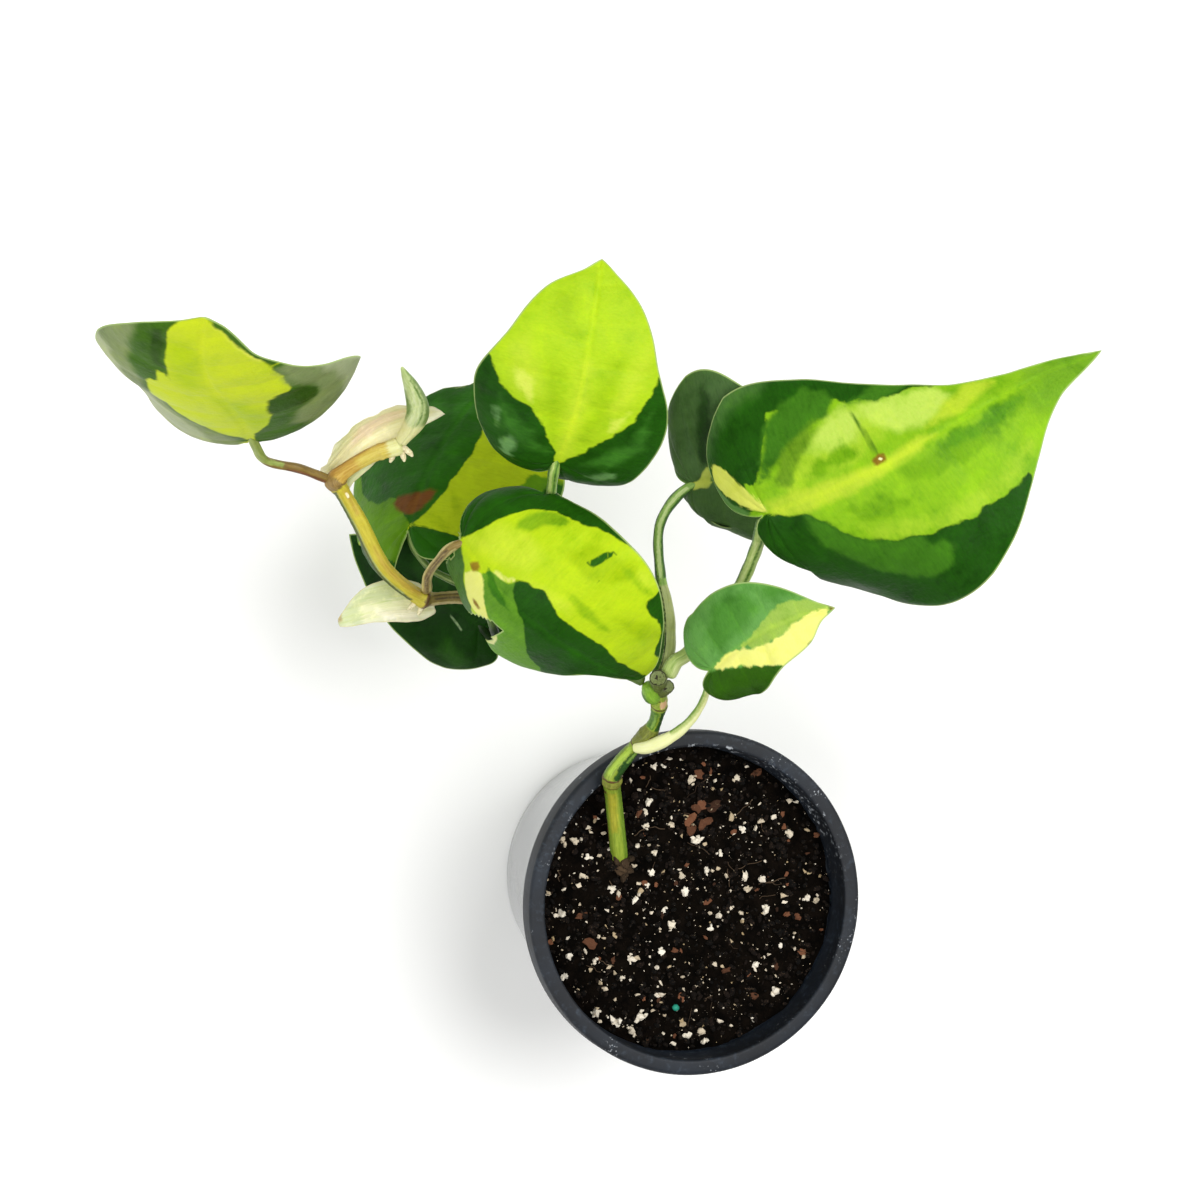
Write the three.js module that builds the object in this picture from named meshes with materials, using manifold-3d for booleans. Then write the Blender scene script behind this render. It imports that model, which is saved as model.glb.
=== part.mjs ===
// Potted brasil philodendron: a round nursery pot of soil, a leaning stem with its side shoot,
// eight heart-shaped leaves on their stalks, two papery bracts and a rolled new leaf.
// Millimetres, +Z up. The origin is the middle of the pot's base, on the surface that it stands on.

import * as THREE from "three";
import { mergeVertices } from "three/addons/utils/BufferGeometryUtils.js";
import Module from "manifold-3d";

const wasm = await Module();
wasm.setup();

// Driving dimensions of the pot and its soil
const POT_HEIGHT = 80;
const POT_RIM_RADIUS = 50;
const POT_BASE_RADIUS = 37.5;
const POT_WALL = 1.2;
const POT_FLOOR = 2.5;
const RIM_HEIGHT = 9;
const RIM_WIDTH = 4.6;
const SOIL_LEVEL = 70;
const GAP = 0.3;
const POT_FACETS = 36;

// Driving dimensions of the plant
const BLADE_THICKNESS = 0.7;
const NOTCH_DEPTH = 2;
const BLADE_COLUMNS = 3;
const BLADE_ROWS = 19;
const LONG_LEAF = 90;
const LONG_LEAF_ROWS = 24;
const BRACT_COLUMNS = 2;
const BRACT_ROWS = 12;
const STEM_SIDES = 10;
const STEM_STEPS = 40;
const STUB_STEPS = 3;
const SHOOT_SIDES = 8;
const SHOOT_STEPS = 56;
const NEW_LEAF_STEPS = 14;
const NUB_SIDES = 6;
const NUB_RADIUS = 0.9;
const NUB_TIP_RADIUS = 0.4;
const STALK_ROOM = 0.38;
const NECK_GAP = 0.9;
const NECK_TAPER = 0.75;
const STALK_SIDES = 7;
const STALK_STEPS = 14;
const STEM_BASE_RADIUS = 2.7;
const SHOOT_RADIUS = 1.9;

// Perlite grains and bark pieces in the soil's surface
const SEED = 20;
const GRAINS = 46;
const SMALLEST_GRAIN = 1;
const GRAIN_SPREAD = 1.1;
const BARK_SIZE = [5, 2.6, 1.8];
const BARK_TILT = 0.3;
const BARK_PROUD = 0.4;
const BARK_PIECES = [[-1, 17, 0.4], [3, 14, 1.3], [-4, 12, 2.2], [1, 10, 0.9], [6, 18, 2.7]];

// Where the stem comes out of the soil, how far from there the grains begin, and the floor of its hole
const STEM_FOOT = [-21, 15];
const STEM_CLEARANCE = 8;
const HOLE_FLOOR = [-17.5, 0.7, 51.5];

const COLOURS = {
  pot: 0x23272b,
  soil: 0x241a14,
  stem: 0x8fa23c,
  shoot: 0xc2a95a,
  bract: 0xe2e2bd,
  newLeaf: 0xa9bd8c,
  lime: 0xbcd435,
  green: 0x4d8f35,
  dark: 0x1f4f2c,
  brownStalk: 0x94844c,
  greenStalk: 0x7da14c,
};

// Bearings about the joint of stalk and blade at which a leaf's outline is measured, in degrees.
// 0 is the tip and 180 the notch between the two lobes.
const BEARINGS = [0, 5, 15, 32, 55, 85, 110, 130, 150, 165, 180];

// Each leaf: where its joint is, how it is turned (degrees), how it bends, and its outline (mm).
// sag bends the midrib down to the tip, lobe bends the two lobes down behind the joint,
// fold and curl turn each half down from the midrib, hang adds curl beside the joint,
// sway bows the midrib sideways. Pairs are for the left and the right half.
const LEAVES = {
  far: {
    joint: [-135, 132, 118], heading: 139, pitch: 71, roll: -33, length: 68,
    sag: 24, lobe: 45, twist: -11, fold: [-7, 14], curl: [58, 53], hang: [15, 8], sway: [3.5, -2],
    left: [67, 65, 58, 43, 32, 28, 26, 17, 8], right: [64, 50, 41, 40, 36, 29, 23, 20, 8],
    stalk: [[-112.3, 122, 101.8], [-119.4, 124.4, 104], [-129, 126.4, 107], [-133.2, 130.4, 114.6]],
    stalkRadius: 1.3, colour: "lime", stalkColour: "brownStalk",
  },
  middle: {
    joint: [-79, 105.5, 122], heading: -69, pitch: 29, roll: 45, length: 75,
    sag: 99, lobe: 105, twist: 2, fold: [4, -9], curl: [44, 57], hang: [51, 47], sway: [2.5, -1],
    left: [73, 65, 56, 42, 31, 31, 29, 21, 6], right: [57, 53, 49, 38, 29, 30, 23, 11, 4],
    stalk: [[-83.1, 91.6, 95.4], [-84.4, 95.6, 103], [-83.4, 100, 112], [-81, 103.6, 118.6]],
    stalkRadius: 1.3, colour: "lime", stalkColour: "brownStalk",
  },
  top: {
    joint: [-56, 126, 133], heading: 77, pitch: 50, roll: 5, length: 59,
    sag: 76, lobe: 81, twist: -1, fold: [2, 9], curl: [40, 33], hang: [28, -9], sway: [1, -0.5],
    left: [55, 51, 41, 35, 26, 22, 19, 14, 5], right: [55, 49, 38, 32, 24, 21, 19, 15, 4],
    stalk: [
      [-48.4, 81.4, 103.4], [-51, 96, 109.5], [-54.4, 113, 119.6], [-55.8, 120.6, 127.4], [-56.2, 124, 131],
    ],
    stalkRadius: 1.4, colour: "lime", stalkColour: "greenStalk",
  },
  large: {
    joint: [-0.5, 112.5, 143], heading: 30, pitch: 34, roll: -9, length: 107,
    sag: 57, lobe: 123, twist: -36, fold: [-4, -12], curl: [27, 29], hang: [10, 67], sway: [-0.5, -1.5],
    left: [73, 56, 45, 40, 36, 30, 25, 15, 6], right: [86, 74, 66, 56, 40, 26, 12, 7, 4],
    stalk: [
      [-18.7, 68.6, 112.4], [-17.2, 71.8, 113.8], [-14.6, 73.6, 114.8], [-5, 84, 118], [0, 94.4, 121],
      [1.2, 104, 129.4], [0, 110.6, 138.6],
    ],
    stalkRadius: 1.8, colour: "green", stalkColour: "greenStalk",
  },
  dark: {
    joint: [-13.5, 120.5, 118], heading: 2, pitch: 40, roll: 13, length: 58,
    sag: 80, lobe: 148, twist: -18, fold: [7, -7], curl: [19, 34], hang: [8, 59], sway: [0, 1],
    left: [53, 45, 31, 30, 31, 22, 18, 12, 4], right: [53, 45, 35, 29, 25, 23, 19, 12, 4],
    stalk: [
      [-19.9, 67.6, 107.8], [-18.2, 74.5, 108.6], [-18.4, 85.1, 109.6], [-20.7, 95.7, 111], [-21.4, 109.7, 113],
      [-16.6, 118, 115.8],
    ],
    stalkRadius: 2, colour: "dark", stalkColour: "greenStalk",
  },
  small: {
    joint: [-11, 70.5, 128], heading: 34, pitch: 44, roll: -12, length: 38,
    sag: 42, lobe: 65, twist: 2, fold: [4, 7], curl: [26, 31], hang: [16, 81], sway: [3, 0],
    left: [34, 30, 25, 20, 17, 16, 14, 8, 4], right: [33, 29, 21, 18, 17, 15, 14, 11, 4],
    stalk: [
      [-16.4, 50.6, 98.8], [-15, 51.4, 101], [-12, 54.5, 105], [-10.4, 60.2, 112], [-10.4, 64.4, 118.4],
      [-11, 68.4, 124.6],
    ],
    stalkRadius: 1.4, colour: "green", stalkColour: "greenStalk",
  },
  back: {
    joint: [-86, 109.5, 86], heading: 69, pitch: -14, roll: -52, length: 72,
    sag: 36, lobe: 71, twist: 20, fold: [-2, -2], curl: [24, 29], hang: [30, 24], sway: [-1, 1],
    left: [52, 49, 44, 40, 37, 32, 29, 25, 8], right: [66, 55, 48, 46, 34, 23, 15, 10, 4],
    stalk: [[-67.5, 91, 92.4], [-74.5, 94, 89], [-81, 98, 86.5], [-85.2, 105.6, 84.2]],
    stalkRadius: 1.2, colour: "dark", stalkColour: "greenStalk",
  },
  low: {
    joint: [-60, 80.4, 58], heading: 149, pitch: -1, roll: -24, length: 46,
    sag: 26, lobe: 36, twist: 1, fold: [2, 5], curl: [23, 15], hang: [23, 15], sway: [-0.5, -0.5],
    left: [42, 35, 28, 23, 21, 18, 16, 14, 5], right: [42, 35, 29, 25, 21, 19, 17, 14, 5],
    stalk: [[-65, 85.6, 93], [-61.5, 79, 86], [-56.6, 75, 72], [-57, 76.6, 62], [-58.2, 79, 57.6]],
    stalkRadius: 1.2, colour: "dark", stalkColour: "greenStalk",
  },
};

// Bracts: boat-shaped sheets, described as leaves are, with the outline narrow and the halves cupped up
const BRACTS = {
  large: {
    joint: [-111.4, 123.2, 96.5], heading: 31, pitch: 13, roll: 36, length: 33,
    sag: 6, lobe: 0, twist: 0, fold: [14, 30], curl: [-60, -60], hang: [0, 0], sway: [1.5, 0],
    left: [30, 26, 18, 12, 8, 5, 4, 3, 2], right: [28, 22, 13, 8, 6, 5, 5, 4, 3], colour: "bract",
  },
  small: {
    joint: [-85.5, 88, 86.5], heading: 178, pitch: 8, roll: -14, length: 24,
    sag: 8, lobe: 0, twist: 0, fold: [16, 16], curl: [-40, -40], hang: [0, 0], sway: [0, 0],
    left: [22, 18, 11, 7, 5, 4, 4, 3, 3], right: [22, 18, 12, 8, 6, 5, 5, 4, 3], colour: "bract",
  },
};

// Middle lines of the stem and of its side shoot, with the radius at each point
const STEM_PATH = [
  [-17.6, 1, 52, 2.4], [-19, 7, 62.5, 2.6], [-20.6, 13.2, 69.4, STEM_BASE_RADIUS], [-22.8, 22, 74.2, 2.7],
  [-24.8, 30.6, 78.4, 2.6],
  [-26.6, 35.6, 83, 2.7], [-26.9, 36.8, 84.2, 3.1], [-27.1, 38.4, 85.4, 2.7], [-24.3, 43.4, 88.5, 2.5],
  [-22.4, 46.4, 91, 2.2], [-20.9, 48.5, 93, 2.7], [-19.6, 50.6, 95.5, 2.8], [-18.6, 53.6, 98, 2.1],
  [-18.5, 56.3, 100.6, 2.1], [-18.7, 59, 103.2, 2.5], [-19, 60.8, 105, 2.2], [-19.9, 63.2, 108, 2.2],
  [-20.5, 64.7, 110, 2],
];
const STUBS = [
  [[-19.8, 60.8, 105, 1.5], [-22.1, 62.6, 107.5, 2.7], [-23.5, 64.6, 109.6, 2.1]],
  [[-20.6, 64.6, 109.5, 2.1], [-21.6, 66.2, 112.4, 2.4], [-22.6, 67.5, 115, 2.4]],
  [[-19.7, 63.4, 108.5, 1.9], [-19.3, 65.1, 113.5, 1.9]],
];
const SHOOT_PATH = [
  [-25.4, 66.4, 109, 1.8], [-36, 72.1, 105.6, SHOOT_RADIUS], [-46.6, 77.8, 102, 1.9],
  [-48.2, 78.6, 101.4, 2.5], [-49.8, 79.4, 100.8, 1.9], [-57.3, 83.6, 98, SHOOT_RADIUS],
  [-64, 86.8, 95.6, 1.8], [-65.4, 87.3, 95.2, 2.4], [-67, 87.8, 94.8, 1.8], [-73.4, 89.4, 93.4, 1.7],
  [-81.4, 89, 92.6, 1.9], [-83.4, 89.2, 92.8, 2.7], [-85.4, 90, 93.2, 2.2], [-94.7, 97.1, 95.4, 2.2],
  [-102.7, 110.8, 98.4, 2.2], [-107.6, 118.6, 100.4, 2.1], [-109.4, 121.4, 101.4, 2.8],
  [-107.4, 123.8, 102.6, 2.2], [-100, 128.4, 105, 2.1], [-93.4, 130.6, 107, 2.5],
];
const NEW_LEAF_PATH = [
  [-92.5, 132, 108.3, 1.7], [-90, 137, 113.4, 2.9], [-90, 141, 117.6, 3], [-92.6, 145.4, 122.4, 2.1],
  [-95.4, 148.8, 126.6, 1.1], [-96.6, 150.4, 128.4, 0.5],
];

// Stubs of air roots: point on the shoot, direction, length
const ROOT_NUBS = [
  [[-93.4, 130.6, 107], [0.5, -1, -0.3], 4.4],
  [[-94.4, 130.4, 106.6], [-0.2, -1, -0.4], 4.2],
  [[-92.6, 130.6, 107.2], [1, -0.8, -0.2], 4],
  [[-109.2, 121.2, 101.4], [0.7, -1, 0.1], 5.2],
  [[-83.4, 89.2, 92.8], [-0.3, -1, -0.2], 4.6],
  [[-84.6, 89.6, 93], [-0.9, -1, -0.2], 4.4],
];

const radians = THREE.MathUtils.degToRad;
const clamp = THREE.MathUtils.clamp;

// Distance from the joint to the outline at a bearing, smooth through the measured ones
function reach(distances, bearing) {
  const last = BEARINGS.length - 1;
  const slope = (i) => {
    const from = Math.max(i - 1, 0);
    const to = Math.min(i + 1, last);
    return (distances[to] - distances[from]) / (BEARINGS[to] - BEARINGS[from]);
  };
  let i = 0;
  while (i < last - 1 && bearing >= BEARINGS[i + 1]) i += 1;
  const step = BEARINGS[i + 1] - BEARINGS[i];
  const t = (bearing - BEARINGS[i]) / step;
  return distances[i] * (1 + 2 * t) * (1 - t) ** 2 + slope(i) * step * t * (1 - t) ** 2
    + distances[i + 1] * t * t * (3 - 2 * t) - slope(i + 1) * step * t * t * (1 - t);
}

// Half of the outline as flat points evenly spaced from the notch to the tip, side +1 left, -1 right
function halfOutline(leaf, side, count) {
  const measured = side > 0 ? leaf.left : leaf.right;
  const distances = [leaf.length, ...measured, NOTCH_DEPTH];
  const dense = [];
  for (let i = 0; i <= 180; i += 1) {
    const bearing = 180 - i;
    const r = reach(distances, bearing);
    dense.push(new THREE.Vector2(side * r * Math.sin(radians(bearing)), r * Math.cos(radians(bearing))));
  }
  const lengths = [0];
  for (let i = 1; i < dense.length; i += 1) lengths.push(lengths[i - 1] + dense[i].distanceTo(dense[i - 1]));
  const total = lengths[lengths.length - 1];
  const points = [];
  let k = 0;
  for (let i = 0; i <= count; i += 1) {
    const target = total * i / count;
    while (k < dense.length - 2 && lengths[k + 1] < target) k += 1;
    const t = (target - lengths[k]) / (lengths[k + 1] - lengths[k]);
    points.push(dense[k].clone().lerp(dense[k + 1], clamp(t, 0, 1)));
  }
  return points;
}

// The midrib as a table of forward distance, height and slope, from behind the lobes to the tip
function midribTable(leaf) {
  const steps = 90;
  const start = -0.5 * leaf.length;
  const pace = 1.5 * leaf.length / steps;
  const slopeAt = (y) => {
    const ahead = clamp(y / leaf.length, 0, 1);
    const behind = clamp(-y / (0.3 * leaf.length), 0, 2);
    return radians(leaf.pitch - leaf.sag * ahead + leaf.lobe * behind);
  };
  const rows = [{ y: start, forward: 0, up: 0, slope: slopeAt(start) }];
  for (let i = 1; i <= steps; i += 1) {
    const y = start + i * pace;
    const before = rows[i - 1];
    const slope = slopeAt(y);
    rows.push({
      y,
      forward: before.forward + 0.5 * pace * (Math.cos(slope) + Math.cos(before.slope)),
      up: before.up + 0.5 * pace * (Math.sin(slope) + Math.sin(before.slope)),
      slope,
    });
  }
  const joint = rows[steps / 3];
  const atJoint = { forward: joint.forward, up: joint.up };
  for (const row of rows) {
    row.forward -= atJoint.forward;
    row.up -= atJoint.up;
  }
  return { rows, start, pace };
}

// Maps a flat point of the blade to its place in the bent and turned leaf
function bladeSurface(leaf) {
  const { rows, start, pace } = midribTable(leaf);
  const halfWidth = 0.5 * leaf.length;
  const axis = new THREE.Vector3(Math.cos(radians(leaf.pitch)), 0, Math.sin(radians(leaf.pitch)));
  const up = new THREE.Vector3(0, 0, 1);
  return (x, y) => {
    const place = clamp((y - start) / pace, 0, rows.length - 1.001);
    const i = Math.floor(place);
    const t = place - i;
    const mix = (key) => rows[i][key] * (1 - t) + rows[i + 1][key] * t;
    const slope = mix("slope");
    const half = x >= 0 ? 0 : 1;
    const sign = x >= 0 ? 1 : -1;
    const across = Math.abs(x);
    const besideJoint = clamp(1 - y / (0.45 * leaf.length), 0, 1);
    const fold = radians(leaf.fold[half]);
    const bend = radians(leaf.curl[half] + leaf.hang[half] * besideJoint) / halfWidth;
    const curl = Math.abs(bend) < 1e-6 ? 1e-6 : bend;
    const out = (Math.sin(fold) - Math.sin(fold - curl * across)) / curl;
    const rise = (Math.cos(fold - curl * across) - Math.cos(fold)) / curl;
    const ahead = clamp(y / leaf.length, 0, 1);
    const bow = leaf.sway[0] * Math.sin(Math.PI * ahead) + leaf.sway[1] * Math.sin(2 * Math.PI * ahead);
    const twist = radians(leaf.twist) * clamp(y / leaf.length, -0.3, 1);
    const side = new THREE.Vector3(0, 1, 0);
    const normal = new THREE.Vector3(-Math.sin(slope), 0, Math.cos(slope));
    const cos = Math.cos(twist);
    const sin = Math.sin(twist);
    const turnedSide = side.clone().multiplyScalar(cos).addScaledVector(normal, sin);
    const turnedNormal = normal.clone().multiplyScalar(cos).addScaledVector(side, -sin);
    const point = new THREE.Vector3(mix("forward"), 0, mix("up"));
    point.addScaledVector(turnedSide, sign * out + bow);
    point.addScaledVector(turnedNormal, rise);
    point.applyAxisAngle(axis, radians(leaf.roll));
    point.applyAxisAngle(up, radians(leaf.heading));
    return point.add(new THREE.Vector3(...leaf.joint));
  };
}

// The blade's flat grid: rows run from the midrib to the outline as the side veins do
function bladeGrid(leaf, rowsPerSide, columns) {
  const flat = [];
  const triangles = [];
  const seen = new Map();
  const vertex = (x, y) => {
    const key = `${x.toFixed(3)},${y.toFixed(3)}`;
    if (!seen.has(key)) {
      seen.set(key, flat.length);
      flat.push([x, y]);
    }
    return seen.get(key);
  };
  const addTriangle = (a, b, c) => {
    if (a !== b && b !== c && a !== c) triangles.push([a, b, c]);
  };
  for (const side of [1, -1]) {
    const edge = halfOutline(leaf, side, rowsPerSide);
    const grid = edge.map((point, i) => {
      const root = leaf.length * clamp((i / rowsPerSide - 0.3) / 0.7, 0, 1);
      const row = [];
      for (let j = 0; j <= columns; j += 1) {
        const s = j / columns;
        row.push(vertex(point.x * s, root + (point.y - root) * s));
      }
      return row;
    });
    for (let i = 0; i < rowsPerSide; i += 1) {
      for (let j = 0; j < columns; j += 1) {
        const [a, b, c, d] = [grid[i][j], grid[i][j + 1], grid[i + 1][j + 1], grid[i + 1][j]];
        if (side > 0) {
          addTriangle(a, c, b);
          addTriangle(a, d, c);
        } else {
          addTriangle(a, b, c);
          addTriangle(a, c, d);
        }
      }
    }
  }
  return { flat, triangles };
}

// A closed sheet: the surface offset to both sides by half of the thickness and joined round its edge
function bladeGeometry(leaf, rowsPerSide, columns) {
  const { flat, triangles } = bladeGrid(leaf, rowsPerSide, columns);
  const surface = bladeSurface(leaf);
  const middle = flat.map(([x, y]) => surface(x, y));
  const normals = middle.map(() => new THREE.Vector3());
  for (const [a, b, c] of triangles) {
    const normal = middle[b].clone().sub(middle[a]).cross(middle[c].clone().sub(middle[a]));
    for (const v of [a, b, c]) normals[v].add(normal);
  }
  const positions = [];
  for (const side of [0.5, -0.5]) {
    middle.forEach((point, i) => {
      const offset = normals[i].clone().normalize().multiplyScalar(side * BLADE_THICKNESS);
      positions.push(...point.clone().add(offset).toArray());
    });
  }
  const count = middle.length;
  const faces = [];
  const edges = new Map();
  for (const [a, b, c] of triangles) {
    faces.push(a, b, c);
    faces.push(a + count, c + count, b + count);
    for (const [p, q] of [[a, b], [b, c], [c, a]]) {
      if (edges.has(`${q},${p}`)) edges.delete(`${q},${p}`);
      else edges.set(`${p},${q}`, [p, q]);
    }
  }
  for (const [p, q] of edges.values()) {
    faces.push(p, p + count, q + count);
    faces.push(p, q + count, q);
  }
  return closedGeometry(positions, faces);
}

function closedGeometry(positions, faces) {
  const geometry = new THREE.BufferGeometry();
  geometry.setAttribute("position", new THREE.Float32BufferAttribute(positions, 3));
  geometry.setIndex(faces);
  return geometry;
}

// A closed tube along a smooth line through [x, y, z, radius] points
function tubeGeometry(path, sides, steps) {
  const centres = path.map(([x, y, z]) => new THREE.Vector3(x, y, z));
  const curve = new THREE.CatmullRomCurve3(centres, false, "centripetal");
  const radiusAt = (t) => {
    const place = clamp(t * (path.length - 1), 0, path.length - 1);
    const i = Math.min(Math.floor(place), path.length - 2);
    return THREE.MathUtils.lerp(path[i][3], path[i + 1][3], place - i);
  };
  const positions = [];
  const faces = [];
  let side = new THREE.Vector3(0, 0, 1);
  for (let i = 0; i <= steps; i += 1) {
    const t = i / steps;
    const centre = curve.getPoint(t);
    const tangent = curve.getTangent(t);
    side = side.clone().addScaledVector(tangent, -side.dot(tangent)).normalize();
    const other = tangent.clone().cross(side);
    for (let k = 0; k < sides; k += 1) {
      const angle = 2 * Math.PI * k / sides;
      const point = centre.clone();
      point.addScaledVector(side, radiusAt(t) * Math.cos(angle));
      point.addScaledVector(other, radiusAt(t) * Math.sin(angle));
      positions.push(...point.toArray());
    }
  }
  for (let i = 0; i < steps; i += 1) {
    for (let k = 0; k < sides; k += 1) {
      const a = i * sides + k;
      const b = i * sides + (k + 1) % sides;
      faces.push(a, b, b + sides, a, b + sides, a + sides);
    }
  }
  const first = positions.length / 3;
  positions.push(...curve.getPoint(0).toArray(), ...curve.getPoint(1).toArray());
  for (let k = 0; k < sides; k += 1) {
    const next = (k + 1) % sides;
    faces.push(first, next, k);
    faces.push(first + 1, steps * sides + k, steps * sides + next);
  }
  return closedGeometry(positions, faces);
}

function toSolid(geometry) {
  const bare = geometry.clone();
  bare.deleteAttribute("normal");
  bare.deleteAttribute("uv");
  const merged = mergeVertices(bare, 1e-4);
  return new wasm.Manifold(new wasm.Mesh({
    numProp: 3,
    vertProperties: new Float32Array(merged.attributes.position.array),
    triVerts: new Uint32Array(merged.index.array),
  }));
}

function toGeometry(solid) {
  const mesh = solid.getMesh();
  return closedGeometry(Array.from(mesh.vertProperties), Array.from(mesh.triVerts));
}

// Repeatable draw between 0 and 1
function randomSource(seed) {
  let state = seed;
  return () => {
    state = (state * 16807) % 2147483647;
    return state / 2147483647;
  };
}

const innerRadiusAt = (z) => {
  const wallTop = POT_HEIGHT - RIM_HEIGHT;
  const outer = THREE.MathUtils.lerp(POT_BASE_RADIUS, POT_RIM_RADIUS - RIM_WIDTH + POT_WALL, z / wallTop);
  return Math.min(outer - POT_WALL, POT_RIM_RADIUS - RIM_WIDTH);
};

function potGeometry() {
  const wallTop = POT_HEIGHT - RIM_HEIGHT;
  const innerRim = POT_RIM_RADIUS - RIM_WIDTH;
  const profile = [
    [0, 0], [POT_BASE_RADIUS - 1.2, 0], [POT_BASE_RADIUS, 1.2], [innerRim + POT_WALL, wallTop],
    [POT_RIM_RADIUS - 1, wallTop], [POT_RIM_RADIUS - 0.4, wallTop + 0.8], [POT_RIM_RADIUS, POT_HEIGHT - 1.6],
    [POT_RIM_RADIUS - 0.5, POT_HEIGHT - 0.5], [POT_RIM_RADIUS - 1.6, POT_HEIGHT],
    [innerRim + 0.8, POT_HEIGHT], [innerRim, POT_HEIGHT - 0.8], [innerRim, wallTop],
    [innerRadiusAt(POT_FLOOR), POT_FLOOR], [0, POT_FLOOR],
  ];
  const points = profile.map(([r, z]) => new THREE.Vector2(r, z));
  return new THREE.LatheGeometry(points, POT_FACETS).rotateX(Math.PI / 2);
}

// Height of the crumbly soil surface
const soilHeight = (x, y) => SOIL_LEVEL
  + 0.8 * Math.sin(0.21 * x + 1.1) * Math.cos(0.17 * y - 0.6)
  + 0.3 * Math.sin(0.32 * y + 0.2 * x);

function soilBody() {
  const around = 36;
  const rings = 7;
  const bottom = POT_FLOOR + GAP;
  const positions = [0, 0, soilHeight(0, 0)];
  const faces = [];
  const pushRing = (radius, heightAt) => {
    for (let k = 0; k < around; k += 1) {
      const angle = 2 * Math.PI * k / around;
      const x = radius * Math.cos(angle);
      const y = radius * Math.sin(angle);
      positions.push(x, y, heightAt(x, y));
    }
  };
  // The soil clears the facets of the wall round it
  const facetRatio = Math.cos(Math.PI / POT_FACETS);
  const topRadius = innerRadiusAt(SOIL_LEVEL) * facetRatio - GAP;
  for (let ring = 1; ring <= rings; ring += 1) pushRing(topRadius * ring / rings, soilHeight);
  pushRing(innerRadiusAt(bottom) * facetRatio - GAP, () => bottom);
  for (let k = 0; k < around; k += 1) faces.push(0, 1 + k, 1 + (k + 1) % around);
  for (let ring = 0; ring < rings; ring += 1) {
    for (let k = 0; k < around; k += 1) {
      const a = 1 + ring * around + k;
      const b = 1 + ring * around + (k + 1) % around;
      faces.push(a, a + around, b + around, a, b + around, b);
    }
  }
  const centre = positions.length / 3;
  positions.push(0, 0, bottom);
  const lowest = 1 + rings * around;
  for (let k = 0; k < around; k += 1) faces.push(centre, lowest + (k + 1) % around, lowest + k);
  return closedGeometry(positions, faces);
}

// Soil with perlite grains and bark pieces sunk into its surface and a plain hole for the stem
function soilGeometry() {
  const random = randomSource(SEED);
  let soil = toSolid(soilBody());
  const reachable = innerRadiusAt(SOIL_LEVEL) - 5;
  for (let i = 0; i < GRAINS; i += 1) {
    const angle = 2 * Math.PI * random();
    const distance = reachable * Math.sqrt(random());
    const size = SMALLEST_GRAIN + GRAIN_SPREAD * random() ** 2;
    const x = distance * Math.cos(angle);
    const y = distance * Math.sin(angle);
    const grain = new THREE.OctahedronGeometry(size, 0);
    grain.scale(1, 0.75 + 0.4 * random(), 0.7 + 0.3 * random());
    grain.rotateZ(Math.PI * random()).rotateX(Math.PI * random());
    grain.translate(x, y, soilHeight(x, y) - 0.15 * size);
    if (Math.hypot(x - STEM_FOOT[0], y - STEM_FOOT[1]) > STEM_CLEARANCE) soil = soil.add(toSolid(grain));
  }
  for (const [x, y, turn] of BARK_PIECES) {
    const bark = new THREE.BoxGeometry(...BARK_SIZE).rotateX(BARK_TILT).rotateZ(turn);
    bark.translate(x, y, soilHeight(x, y) + BARK_PROUD);
    soil = soil.add(toSolid(bark));
  }
  const hole = STEM_PATH.map(([x, y, z, radius]) => [x, y, z, radius + STALK_ROOM]);
  const deeper = [...HOLE_FLOOR, STEM_PATH[0][3] + STALK_ROOM];
  const holeSolid = toSolid(tubeGeometry(hole, STEM_SIDES, STEM_STEPS));
  const holeEnd = toSolid(tubeGeometry([deeper, hole[1]], STEM_SIDES, 1));
  return toGeometry(soil.subtract(holeSolid).subtract(holeEnd));
}

function stemGeometry() {
  let stem = toSolid(tubeGeometry(STEM_PATH, STEM_SIDES, STEM_STEPS));
  for (const stub of STUBS) stem = stem.add(toSolid(tubeGeometry(stub, STEM_SIDES, STUB_STEPS)));
  return toGeometry(stem);
}

function shootGeometry() {
  let shoot = toSolid(tubeGeometry(SHOOT_PATH, SHOOT_SIDES, SHOOT_STEPS));
  for (const [[x, y, z], direction, length] of ROOT_NUBS) {
    const tip = new THREE.Vector3(...direction).normalize().multiplyScalar(length);
    const nub = [[x, y, z, NUB_RADIUS], [x + tip.x, y + tip.y, z + tip.z, NUB_TIP_RADIUS]];
    shoot = shoot.add(toSolid(tubeGeometry(nub, NUB_SIDES, 2)));
  }
  return toGeometry(shoot);
}

// A leaf's stalk: from its node on the stem to just short of the joint with the blade
function stalkPath(leaf) {
  const joint = new THREE.Vector3(...leaf.joint);
  const neck = new THREE.Vector3(...leaf.stalk[leaf.stalk.length - 1]);
  const end = joint.clone().add(neck.sub(joint).setLength(NECK_GAP));
  const path = leaf.stalk.map((point) => [...point, leaf.stalkRadius]);
  path.push([...end.toArray(), leaf.stalkRadius * NECK_TAPER]);
  return path;
}

// A short tube that carries a path on beyond its last point
function tipRoom(path) {
  const last = path[path.length - 1];
  const before = path[path.length - 2];
  const start = new THREE.Vector3(...last);
  const step = start.clone().sub(new THREE.Vector3(...before)).normalize();
  const behind = start.clone().addScaledVector(step, -1).toArray();
  const beyond = start.clone().addScaledVector(step, STALK_ROOM).toArray();
  return tubeGeometry([[...behind, last[3]], [...beyond, last[3]]], STALK_SIDES, 1);
}

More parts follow.
